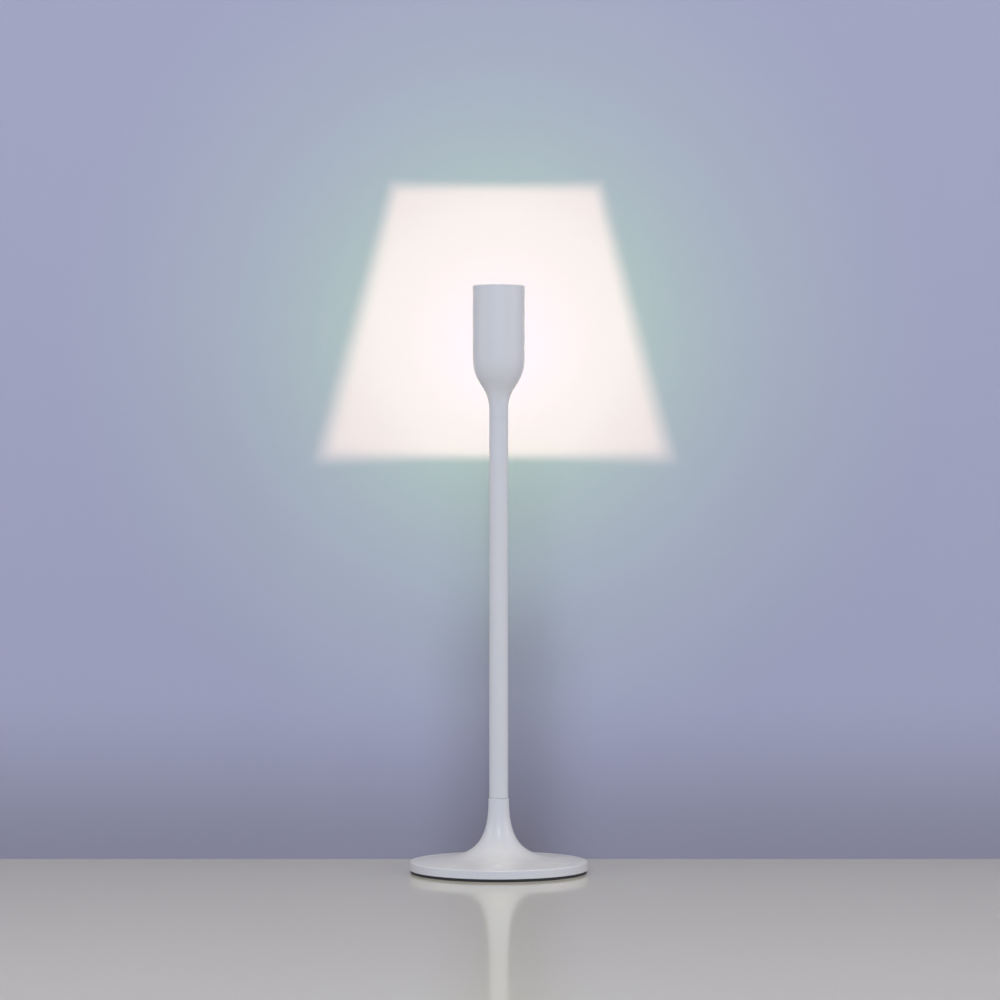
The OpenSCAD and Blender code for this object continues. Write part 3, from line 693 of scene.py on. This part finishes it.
class Solid:
    """A closed mesh that is built up in millimetres and then handed over as a piece"""

    def __init__(self, *names):
        self.bm = bmesh.new()
        self.names = list(names)
        self.finish = 0

    def use(self, name):
        """The faces that follow have this finish"""
        if name not in self.names:
            self.names.append(name)
        self.finish = self.names.index(name)
        return self

    def face(self, verts):
        made = self.bm.faces.new(verts)
        made.material_index = self.finish

    def skin(self, rows, around, ring=False, capped=False):
        """Faces between neighbouring rows of points. A row of one point is a tip."""
        for one, two in list(zip(rows, rows[1:])) + ([(rows[-1], rows[0])] if ring else []):
            for k in range(around):
                n = (k + 1) % around
                corners = [one[k % len(one)], one[n % len(one)], two[n % len(two)], two[k % len(two)]]
                self.face(list(dict.fromkeys(corners)))
        if capped:
            self.face(rows[0])
            self.face(rows[-1][::-1])
        return self

    def lathe(self, outline, place=Matrix(), around=48, ring=False):
        """Turns an outline of radius and height round Z. Both may be functions of the angle."""
        rows = []
        for radius, height in outline:
            if radius == 0:
                rows.append([self.bm.verts.new(place @ Vector((0.0, 0.0, at(height, 0.0))))])
                continue
            row = []
            for k in range(around):
                turn = tau * k / around
                r, z = at(radius, turn), at(height, turn)
                row.append(self.bm.verts.new(place @ Vector((r * cos(turn), r * sin(turn), z))))
            rows.append(row)
        return self.skin(rows, around, ring)

    def block(self, low, high, place=Matrix(), soft=0.0):
        """A block with softened edges"""
        made = bmesh.ops.create_cube(self.bm, size=1.0)["verts"]
        middle = (Vector(low) + Vector(high)) / 2
        size = Vector(high) - Vector(low)
        for v in made:
            v.co = middle + Vector(a * b for a, b in zip(v.co, size))
        if soft:
            edges = list(dict.fromkeys(e for v in made for e in v.link_edges))
            made = bmesh.ops.bevel(
                self.bm, geom=edges, offset=soft, segments=2, profile=0.5, affect="EDGES")["verts"]
        for v in made:
            v.co = place @ v.co
        for f in {f for v in made for f in v.link_faces}:
            f.material_index = self.finish
        return self

    def tube(self, path, radius, around=10):
        """A round wire along a path, with closed ends"""
        points = [Vector(p) for p in path]
        ways = [(points[min(i + 1, len(points) - 1)] - points[max(i - 1, 0)]).normalized()
                for i in range(len(points))]
        side = ways[0].orthogonal().normalized()
        rows = []
        for point, way in zip(points, ways):
            side = (side - way * side.dot(way)).normalized()
            up = way.cross(side)
            rows.append([self.bm.verts.new(point + radius * (cos(a) * side + sin(a) * up))
                         for a in (tau * k / around for k in range(around))])
        return self.skin(rows, around, capped=True)

    def ribbon(self, path, width, low, high):
        """A flat strip along a path of (x, y) points, from one height to another"""
        points = [Vector(p).to_2d() for p in path]
        rows = []
        for i, point in enumerate(points):
            ends = [k for k in (i - 1, i) if 0 <= k < len(points) - 1]
            ways = [(points[k + 1] - points[k]).normalized() for k in ends]
            way = sum(ways, Vector((0.0, 0.0))).normalized()
            half = width / 2 / way.dot(ways[0])
            side = Vector((-way.y, way.x)) * half
            corners = [(point + side, low), (point - side, low), (point - side, high), (point + side, high)]
            rows.append([self.bm.verts.new((*spot, z)) for spot, z in corners])
        return self.skin(rows, 4, capped=True)

    def mesh(self, name):
        bmesh.ops.recalc_face_normals(self.bm, faces=self.bm.faces)
        made = bpy.data.meshes.new(name)
        self.bm.to_mesh(made)
        self.bm.free()
        for finish in self.names:
            made.materials.append(bpy.data.materials[finish])
        return made


def carved(solid, cutter):
    """The solid with the cutter taken away, as a new solid"""
    stock = linked("stock", solid.mesh("stock"))
    tool = linked("tool", cutter.mesh("tool"))
    cut = stock.modifiers.new("cut", "BOOLEAN")
    cut.operation = "DIFFERENCE"
    cut.solver = "EXACT"
    cut.use_self = True
    cut.object = tool
    view = bpy.context.evaluated_depsgraph_get()
    left = Solid(*solid.names)
    left.bm.from_mesh(stock.evaluated_get(view).to_mesh())
    for o in (stock, tool):
        bpy.data.objects.remove(o)
    return left


def copies(solid, places):
    """One solid with a copy of the given one at each place"""
    whole = Solid(*solid.names)
    pattern = solid.mesh("pattern")
    for place in places:
        turned = pattern.copy()
        turned.transform(place)
        whole.bm.from_mesh(turned)
    return whole


def piece(name, solid, body, replaced=(), crisp=35.0):
    """Hands a solid over as a piece of the lamp that rides on a body"""
    mesh = solid.mesh(name)
    mesh.transform(Matrix.Scale(MM, 4))
    mesh.shade_smooth()
    mesh.set_sharp_from_angle(angle=radians(crisp))
    made = linked(name, mesh)
    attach(made, body)
    if replaced:
        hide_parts(*replaced)
    return made


def box_mm(node):
    low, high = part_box(node)
    return low / MM, high / MM


def radii(node):
    """Smallest and largest distance of a CAD node's points from the axis, in millimetres"""
    reach = [hypot(v.co.x, v.co.y) / MM for v in frame["nodes"][node].data.vertices]
    return min(reach), max(reach)


def solids_of(node):
    """Lowest and highest corner of each separate solid of a CAD node, in millimetres"""
    bm = bmesh.new()
    bm.from_mesh(frame["nodes"][node].data)
    bmesh.ops.remove_doubles(bm, verts=bm.verts, dist=0.001 * MM)
    left, found = set(bm.verts), []
    while left:
        grown = [left.pop()]
        for v in grown:
            fresh = {e.other_vert(v) for e in v.link_edges} & left
            left -= fresh
            grown.extend(fresh)
        corners = [[getattr(v.co, axis) / MM for v in grown] for axis in "xyz"]
        found.append((Vector(map(min, corners)), Vector(map(max, corners))))
    bm.free()
    return sorted(found, key=lambda box: tuple(box[0]))


# Screws, nuts and washers

def pan_screw(shank, head, head_h, length, pitch):
    """A cross-recessed pan screw along Z, its head below zero"""
    crown = head_h * 0.45
    rows = [(0, -head_h), (head * 0.5, -head_h + 0.04 * head), (head * 0.78, -head_h + 0.28 * crown),
            (head * 0.94, -head_h + 0.8 * crown), (head, -head_h + 1.5 * crown), (head, -0.06 * head_h),
            (head * 0.97, 0.0), (shank * 0.86, 0.0)]
    rows += threaded(shank, shank * 0.18, THREAD_GAP, length - shank * 0.5, pitch)
    rows += [(shank * 0.4, length), (0, length)]
    recess = Solid("zinc_steel")
    reach, wide, deep = head * 0.52, head * 0.09, head_h * 0.75
    for turn in (0.0, pi / 2):
        recess.block((-reach, -wide, -head_h - deep), (reach, wide, -head_h + deep), rotate(turn))
    return carved(Solid("zinc_steel").lathe(rows, around=32), recess)


def recessed_screws(node, body, size, pitch, turn=0.0):
    """Recessed screws for a CAD node's plain ones. A turn about X says which way they point."""
    aim = rotate(turn, "X")
    way = aim @ Vector((0.0, 0.0, 1.0))
    places = []
    for low, high in solids_of(node):
        seat = (low + high) / 2 - way * (abs(way.dot(high - low)) / 2 - size[2])
        places.append(shift(*seat) @ aim)
    piece(node + "_recessed", copies(pan_screw(*size, pitch), places), body, [node])


def toothed_washer(low, high):
    """An inside-toothed lock washer in the box of its CAD node"""
    thick, rim, teeth, half_tooth, lap, soft = 0.36, 1.3, 2.4, 0.62, 0.15, 0.05
    outer, middle = (high.x - low.x) / 2, (low.z + high.z) / 2
    bore, ring = outer - teeth, outer - rim
    under, over = middle - thick / 2, middle + thick / 2
    body = Solid("zinc_steel").lathe([(ring, under), (outer, under), (outer, over), (ring, over)],
                                     around=72, ring=True)
    for k in range(LOCK_TEETH):
        place = rotate(tau * k / LOCK_TEETH) @ shift(0, 0, middle) @ rotate(TOOTH_TWIST, "X")
        body.block((bore + soft, -half_tooth, -thick / 2), (ring + lap, half_tooth, thick / 2), place, soft)
    return body


class LAMP_OT_foot(bpy.types.Operator):
    """Make the rubber ring and the fastenings of the foot"""
    bl_idname = "lamp.foot"
    bl_label = "Foot"

    def execute(self, context):
        self.rubber_ring()
        recessed_screws("plate_screws", STAND, PLATE_SCREW, context.scene.lamp_fittings.screw_pitch / MM)
        piece("foot_washer_toothed", toothed_washer(*box_mm("foot_lock_washer")), STAND,
              ["foot_lock_washer"])
        self.nut()
        return {"FINISHED"}

    def rubber_ring(self):
        inner, outer = radii("foot_pad")
        top = box_mm("foot_pad")[1].z
        soft, bend, mouth, bottom, deep = 0.3, 0.09, 0.7, 0.5, 0.4
        rows = [(inner, top), (inner, soft), (inner + bend, bend), (inner + soft, 0.0)]
        for k in range(PAD_GROOVES):
            middle = inner + (outer - inner) * (k + 0.5) / PAD_GROOVES
            rows += [(middle - mouth, 0.0), (middle - bottom, deep), (middle + bottom, deep),
                     (middle + mouth, 0.0)]
        rows += [(outer - soft, 0.0), (outer - bend, bend), (outer, soft), (outer, top)]
        ring = Solid("black_rubber").lathe(rows, around=192, ring=True)
        piece("foot_ring_grooved", ring, STAND, ["foot_pad"])

    def nut(self):
        low, high = box_mm("foot_nut")
        inside, bore = (high.y - low.y) / 2, radii("foot_nut")[0]
        flats, face, mouth, edge = hexagon(inside), inside * 0.97, 0.5, 0.6
        rows = [(bore, low.z + mouth), (bore + mouth, low.z), (face, low.z), (flats, low.z + edge),
                (flats, high.z - edge), (face, high.z), (bore + mouth, high.z), (bore, high.z - mouth)]
        nut = Solid("zinc_steel").lathe(rows, around=72, ring=True)
        piece("foot_nut_chamfered", nut, STAND, ["foot_nut"], crisp=25.0)


class LAMP_OT_driver(bpy.types.Operator):
    """Make the wound, sleeved and soldered parts on the driver's board"""
    bl_idname = "lamp.driver"
    bl_label = "Driver"

    def execute(self, context):
        s = context.scene.lamp_fittings
        self.choke(s.winding_wire / MM)
        self.capacitor()
        self.chip()
        self.small_parts()
        self.terminal_screws()
        recessed_screws("driver_screws", STAND, DRIVER_SCREW, s.small_pitch / MM, pi)
        return {"FINISHED"}

    @staticmethod
    def standing(node):
        """Place of a standing round part's lower end, its radius and its height"""
        low, high = box_mm(node)
        middle = (low + high) / 2
        return shift(middle.x, middle.y, low.z), (high.x - low.x) / 2, high.z - low.z

    def choke(self, wire):
        place, r, tall = self.standing("driver_choke")
        flange, core, soft, edge = 0.8, 1.9, 0.2, 0.15
        body = Solid("ferrite").lathe([
            (0, 0), (r - soft, 0), (r, soft), (r, flange - edge), (r - edge, flange), (core, flange),
            (core, tall - flange), (r - edge, tall - flange), (r, tall - flange + edge),
            (r, tall - soft), (r - soft, tall), (0, tall)], place)
        turns, middle = int((tall - 2 * flange) / wire), core + wire / 2
        coil = []
        for i in range(COIL_STEPS * turns + 1):
            turn = tau * i / COIL_STEPS
            height = flange + wire * (0.5 + (turns - 1) * i / (COIL_STEPS * turns))
            coil.append(place @ Vector((middle * cos(turn), middle * sin(turn), height)))
        body.use("choke_wire").tube(coil, wire / 2, 8)
        piece("driver_choke_wound", body, STAND, ["driver_choke"])

    def capacitor(self):
        place, r, tall = self.standing("driver_capacitor")
        around, waist, slot = 56, r - 0.28, 0.12
        can = Solid("capacitor_sleeve").lathe([
            (0, 0), (r - 0.4, 0), (r - 0.1, 0.15), (r, 0.45), (r, 0.95), (waist, 1.25), (waist, 1.45),
            (r, 1.75), (r, tall - 0.3), (r - 0.1, tall - 0.08), (r - 0.3, tall), (r - 0.55, tall),
            (r - 0.6, tall - slot)], place, around)
        can.use("zinc_steel").face(can.bm.verts[:][-around:])
        score = Solid("zinc_steel")
        for k in range(VENT_CUTS):
            score.block((0.0, -slot, tall - 2 * slot), (r - 1.0, slot, tall + 0.2),
                        place @ rotate(tau * k / VENT_CUTS))
        can = carved(can, score)
        piece("driver_capacitor_vented", can, STAND, ["driver_capacitor"])

    def chip(self):
        low, high = box_mm("driver_chip")
        inset, lift, mark = Vector((0.0, 0.55, 0.0)), Vector((0.0, 0.0, 0.1)), Vector((0.7, 1.1, 0.0))
        body = Solid("chip_resin").block(low + inset + lift, high - inset, soft=0.12)
        body.use("zinc_steel")
        pitch, half_leg = (high.x - low.x) / CHIP_LEGS, 0.2
        for k in range(CHIP_LEGS):
            x = low.x + pitch * (k + 0.5)
            for edge, inward in ((low.y, 1), (high.y, -1)):
                knee, root, bend = edge + 0.25 * inward, edge + 0.65 * inward, 0.09
                leg = ((knee, root, 0.6, 0.78), (knee - bend, knee + bend, 0.02, 0.78),
                       (edge, knee, 0.0, 0.16))
                for one, two, under, over in leg:
                    body.block((x - half_leg, min(one, two), low.z + under),
                               (x + half_leg, max(one, two), low.z + over), soft=0.03)
        r, over, under = 0.3, high.z - low.z + 0.3, high.z - low.z - 0.08
        dot = Solid("chip_resin").lathe([(0, under), (r, under), (r, over), (0, over)],
                                        shift(*(low + mark)), around=20)
        piece("driver_chip_legged", carved(body, dot), STAND, ["driver_chip"])

    def small_parts(self):
        top = box_mm("driver_board")[1].z
        parts = Solid("board_copper")
        for path in TRACKS:
            parts.ribbon(path, TRACK_WIDTH, top, top + TRACK_THICK)
        for x, y, quarters in SMALL_PARTS:
            place = shift(x, y, top) @ rotate(pi / 2 * quarters)
            parts.use("chip_resin").block(*SMALL_BODY, place, 0.05)
            parts.use("zinc_steel")
            for side in (-1, 1):
                parts.block(*SMALL_END, place @ shift(side * SMALL_REACH, 0, 0), 0.06)
        piece("driver_small_parts", parts, STAND)

    def terminal_screws(self):
        screws, slots = Solid("zinc_steel"), Solid("zinc_steel")
        for node in ("input_terminal", "output_terminal"):
            low, high = box_mm(node)
            middle = (low + high) / 2
            for side in (-1, 1):
                place = shift(middle.x + side * (high.x - low.x) / 4, middle.y, high.z)
                screws.lathe(TERMINAL_OUTLINE, place, around=32)
                slots.block(*TERMINAL_SLOT, place @ rotate(side * SLOT_TURN))
        piece("terminal_screws", carved(screws, slots), STAND)


class LAMP_OT_stem(bpy.types.Operator):
    """Make the threaded ferrules of the stem and the wavy washer of the swivel"""
    bl_idname = "lamp.stem"
    bl_label = "Stem"

    def execute(self, context):
        s = context.scene.lamp_fittings
        self.lower_ferrule(s.ferrule_pitch / MM)
        self.upper_ferrule(s.spindle_pitch / MM)
        self.wavy_washer()
        return {"FINISHED"}

    @staticmethod
    def glue_grooves(r, low, high):
        rows, mouth, deep = [], 0.5, 0.25
        for k in range(1, GLUE_GROOVES + 1):
            z = low + (high - low) * k / (GLUE_GROOVES + 1)
            rows += [(r, z - mouth), (r - deep, z - deep), (r - deep, z + deep), (r, z + mouth)]
        return rows

    @staticmethod
    def ferrule(node, rows):
        body = Solid("brass_turned").lathe(rows, around=40, ring=True)
        piece(node + "_threaded", body, STAND, [node])

    def lower_ferrule(self, pitch):
        bore, r = radii("lower_ferrule")
        low, high = box_mm("lower_ferrule")
        seam, spigot = box_mm("stem_tube")[0].z, radii("foot_lock_washer")[0]
        seat = box_mm("foot_lock_washer")[1].z
        rows = [(bore, low.z), (spigot * 0.86, low.z)]
        rows += threaded(spigot, 0.6, low.z + THREAD_GAP, seat + 3 * pitch, pitch)
        rows += [(spigot, seam), (r - EDGE, seam), (r, seam + EDGE), *self.glue_grooves(r, seam, high.z),
                 (r, high.z - EDGE), (r - EDGE, high.z), (bore + MOUTH, high.z), (bore, high.z - MOUTH)]
        self.ferrule("lower_ferrule", rows)

    def upper_ferrule(self, pitch):
        bore, r = radii("upper_ferrule")
        low, high = box_mm("upper_ferrule")
        seam, spindle = box_mm("stem_tube")[1].z, radii("swivel_nut")[0]
        start, depth = box_mm("crinkle_washer")[1].z, 0.3
        rows = [(bore, low.z + MOUTH), (bore + MOUTH, low.z), (r - EDGE, low.z), (r, low.z + EDGE),
                *self.glue_grooves(r, low.z, seam), (r, seam), (spindle, seam), (spindle, start)]
        rows += threaded(spindle, depth, start + THREAD_GAP, high.z - depth, pitch)
        rows += [(spindle * 0.9, high.z), (bore, high.z)]
        self.ferrule("upper_ferrule", rows)

    def wavy_washer(self):
        inner, outer = radii("crinkle_washer")
        low, high = box_mm("crinkle_washer")
        middle, thick = (low.z + high.z) / 2, 0.3
        swing = (high.z - low.z - thick) / 2

        def face(side):
            return lambda turn: middle + swing * sin(WASHER_WAVES * turn) + side * thick / 2
        rows = [(inner, face(-1)), (outer, face(-1)), (outer, face(1)), (inner, face(1))]
        washer = Solid("zinc_steel").lathe(rows, around=96, ring=True)
        piece("crinkle_washer_wavy", washer, STAND, ["crinkle_washer"])


class LAMP_OT_light(bpy.types.Operator):
    """Make the LED with its dome, the tracks, the wires and the screws of the head"""
    bl_idname = "lamp.light"
    bl_label = "Light"

    def execute(self, context):
        pitch = context.scene.lamp_fittings.small_pitch / MM
        self.package()
        self.dome()
        self.tracks()
        self.wires()
        recessed_screws("board_screws", HEAD, BOARD_SCREW, pitch, pi / 2)
        self.grub_screws(pitch)
        return {"FINISHED"}

    def package(self):
        low, high = box_mm("led_package")
        middle, reach, half = (low + high) / 2, (high.x - low.x) * 0.33, 0.12
        under, over = middle.z - reach, middle.z + reach
        base, lit, contact = high.y - 0.2, high.y - 0.02, high.y - 0.14
        body = Solid("led_ceramic").block(low, (high.x, base, high.z), soft=0.1)
        body.use("led_phosphor").block((middle.x - reach, base, under), (middle.x + reach, lit, over),
                                       soft=0.06)
        body.use("brass_turned")
        for side in (-1, 1):
            x = middle.x + side * reach * 1.25
            body.block((x - half, base, under), (x + half, contact, over), soft=0.02)
        piece("led_package_ceramic", body, HEAD, ["led_package"]).visible_shadow = False

    def dome(self):
        low, high = box_mm("led_dome")
        r = high.y - low.y
        place = shift(0.0, low.y, (low.z + high.z) / 2) @ FACING_WALL
        turns = [pi / 2 * i / DOME_STEPS for i in range(DOME_STEPS)]
        rows = [(0, 0.0)] + [(r * cos(turn), r * sin(turn)) for turn in turns] + [(0, r)]
        dome = Solid("led_lens").lathe(rows, place)
        piece("led_dome_clear", dome, HEAD, ["led_dome"]).visible_shadow = False

    def tracks(self):
        low, high = box_mm("led_package")
        middle, wide, tail = (low.z + high.z) / 2, 1.4, 3.0
        under, over = middle - wide, middle + wide
        face, end = box_mm("led_board")[1].y, box_mm("red_wire")[1]
        out, half, raised, soft = end.x - WIRE_RADIUS, 0.8, face + 0.05, 0.02
        tracks = Solid("board_tracks")
        for side in (-1, 1):
            x = side * out
            near, far = sorted((x - side * half, side * high.x))
            tracks.block((x - half, face, end.z - tail), (x + half, raised, over), soft=soft)
            tracks.block((near, face, under), (far, raised, over), soft=soft)
            for lower, upper in solids_of("board_screws"):
                place = shift(0.0, face, (lower.z + upper.z) / 2) @ FACING_WALL
                tracks.lathe(SCREW_RING_OUTLINE, place, 40, ring=True)
        tracks.use("solder")
        for side in (-1, 1):
            tracks.lathe(SOLDER_OUTLINE, shift(side * out, face, end.z) @ FACING_WALL, 28)
        piece("led_board_tracks", tracks, HEAD)

    def wires(self):
        r, short, bare, copper = WIRE_RADIUS, 0.9, 0.8, 0.35
        for node, finish, side in (("red_wire", "wire_red", 1), ("black_wire", "wire_black", -1)):
            low, high = box_mm(node)
            near, far = (low.x + r, high.x - r) if side > 0 else (high.x - r, low.x + r)
            path = []
            for i in range(WIRE_STEPS + 1):
                along = i / WIRE_STEPS
                run = min(1.0, along / WIRE_RUN)
                eased = run ** 2 * (3 - 2 * run)
                path.append(Vector((near + (far - near) * eased, (low.y + r) * eased,
                                    low.z + THREAD_GAP + (high.z - low.z - short) * along)))
            wire = Solid(finish).tube(path, r, 16)
            wire.use("solder").tube([path[-1], path[-1] + Vector((0, 0, bare))], copper, 10)
            piece(node + "_soft", wire, HEAD, [node])

    def grub_screws(self, pitch):
        reach, r, tall, deep, half_key = radii("cap_screws")[1], 1.25, 3.4, 1.2, 0.65
        end = sqrt(reach ** 2 - r ** 2)
        key, bottom, foot = hexagon(half_key), end - deep, end - tall
        rows = [(0, bottom - 0.15), (key, bottom), (key, end - 0.08), (0.78, end), (r - 0.22, end)]
        rows += threaded(r, 0.2, foot + 0.35, end - THREAD_GAP, pitch)[::-1]
        rows += [(0.8, foot), (0.5, foot + 0.02), (0, foot + 0.3)]
        screws = Solid("zinc_steel")
        for low, high in solids_of("cap_screws"):
            middle = (low + high) / 2
            place = rotate(atan2(middle.y, middle.x)) @ shift(0, 0, middle.z) @ rotate(pi / 2, "Y")
            screws.lathe(rows, place, around=36)
        piece("cap_screws_socket", screws, HEAD, ["cap_screws"])


# The lamp's own light

def grouped(name, members):
    """A collection of objects for the linking of light"""
    group = bpy.data.collections.new(name)
    for made in members:
        group.objects.link(made)
    return group


class LAMP_OT_glow(bpy.types.Operator):
    """Light the LED: a small source behind the mask throws the shade, with a faint spill round it"""
    bl_idname = "lamp.glow"
    bl_label = "Glow"

    def execute(self, context):
        scene = context.scene
        wall = [bpy.data.objects["wall"]]
        meshes = [made for made in scene.objects if made.type == "MESH"]
        head = [made for made in meshes if body_of(made) == [HEAD]]
        self.source(scene, "thrown_shade", self.thrown, wall)
        self.source(scene, "spilled_light", self.spilled, wall).data.use_shadow = False
        self.source(scene, "inside_light", self.inside, head)
        frame["nodes"]["window_cover"].visible_shadow = False
        self.let_pass(head)
        return {"FINISHED"}

    def let_pass(self, head):
        """Keeps the head and what it holds from shading the wall, which the LED lights more strongly"""
        group = grouped("head_lets_pass", head)
        for shown in group.collection_objects:
            shown.light_linking.link_state = "EXCLUDE"
        for name, kind, *_ in LAMPS:
            if kind == "front":
                bpy.data.objects[name].light_linking.blocker_collection = group

    def source(self, scene, name, shine, lit):
        """A light on some objects, whose colour and brightness don't follow the distance"""
        s = scene.lamp_glow
        low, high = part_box("led_package")
        data = bpy.data.lights.new(name, "POINT")
        data.shadow_soft_size = s.source_radius
        data.use_soft_falloff = True
        data.energy = 4 * pi * pi
        n = Shader(data)
        normal = n.node("ShaderNodeTexCoord", output="Normal")
        ahead = n.node("ShaderNodeSeparateXYZ", sockets={0: normal}, output="Y")
        even = n.node("ShaderNodeLightFalloff", sockets={"Strength": 1.0}, output="Constant")
        tint, strength = shine(scene, n, ahead)
        glow = n.node("ShaderNodeEmission", sockets={"Color": tint, "Strength": even * strength})
        n.node("ShaderNodeOutputLight", sockets={"Surface": glow})
        lamp = linked(name, data)
        lamp.location = (s.source_side, high.y, (low.z + high.z) / 2)
        lamp.visible_camera = lamp.visible_glossy = lamp.visible_transmission = False
        lamp.light_linking.receiver_collection = grouped(name + "_on", lit)
        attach(lamp, HEAD)
        return lamp

    def thrown(self, scene, n, ahead):
        s = scene.lamp_glow
        tint = n.mix(n.between(ahead, CORE_START, 1.0), tuple(s.edge_colour), tuple(s.core_colour))
        return tint, s.shade_level / n.maths("MAXIMUM", ahead, LEAST_AHEAD) ** SHADE_FALL

    def spilled(self, scene, n, ahead):
        s = scene.lamp_glow
        end = cos(atan(s.spill_reach / scene.lamp_stage.wall_distance))
        fade = n.between(ahead, end, SPILL_FULL)
        return tuple(s.spill_colour), fade * s.spill_level / n.maths("MAXIMUM", ahead, LEAST_AHEAD)

    def inside(self, scene, n, ahead):
        """Even light, weak enough for the head's own parts to be seen through the window"""
        return tuple(scene.lamp_glow.edge_colour), scene.lamp_glow.inside_level


# Panel and registration

OPERATORS = (
    LAMP_OT_stage, LAMP_OT_finishes, LAMP_OT_foot, LAMP_OT_driver, LAMP_OT_stem, LAMP_OT_light,
    LAMP_OT_glow,
)
SETTINGS = {
    "lamp_view": LampViewSettings,
    "lamp_stage": LampStageSettings,
    "lamp_glow": LampGlowSettings,
    "lamp_fittings": LampFittingSettings,
    "lamp_finishes": LampFinishSettings,
}


class LAMP_PT_panel(bpy.types.Panel):
    """The lamp's settings and steps"""
    bl_label = "Lamp"
    bl_space_type = "VIEW_3D"
    bl_region_type = "UI"
    bl_category = "Lamp"

    def draw(self, context):
        for group in SETTINGS:
            box = self.layout.box()
            for name in SETTINGS[group].__annotations__:
                box.prop(getattr(context.scene, group), name)
        for step in OPERATORS:
            self.layout.operator(step.bl_idname)


def register():
    for group, kind in SETTINGS.items():
        bpy.utils.register_class(kind)
        setattr(bpy.types.Scene, group, bpy.props.PointerProperty(type=kind))
    for kind in (*OPERATORS, LAMP_PT_panel):
        bpy.utils.register_class(kind)


def unregister():
    for kind in (LAMP_PT_panel, *reversed(OPERATORS)):
        bpy.utils.unregister_class(kind)
    for group, kind in reversed(SETTINGS.items()):
        delattr(bpy.types.Scene, group)
        bpy.utils.unregister_class(kind)


def main():
    register()
    bpy.ops.lamp.stage()
    bpy.ops.lamp.finishes()
    bpy.ops.lamp.foot()
    bpy.ops.lamp.driver()
    bpy.ops.lamp.stem()
    bpy.ops.lamp.light()
    bpy.ops.lamp.glow()


if __name__ == "__main__":
    main()
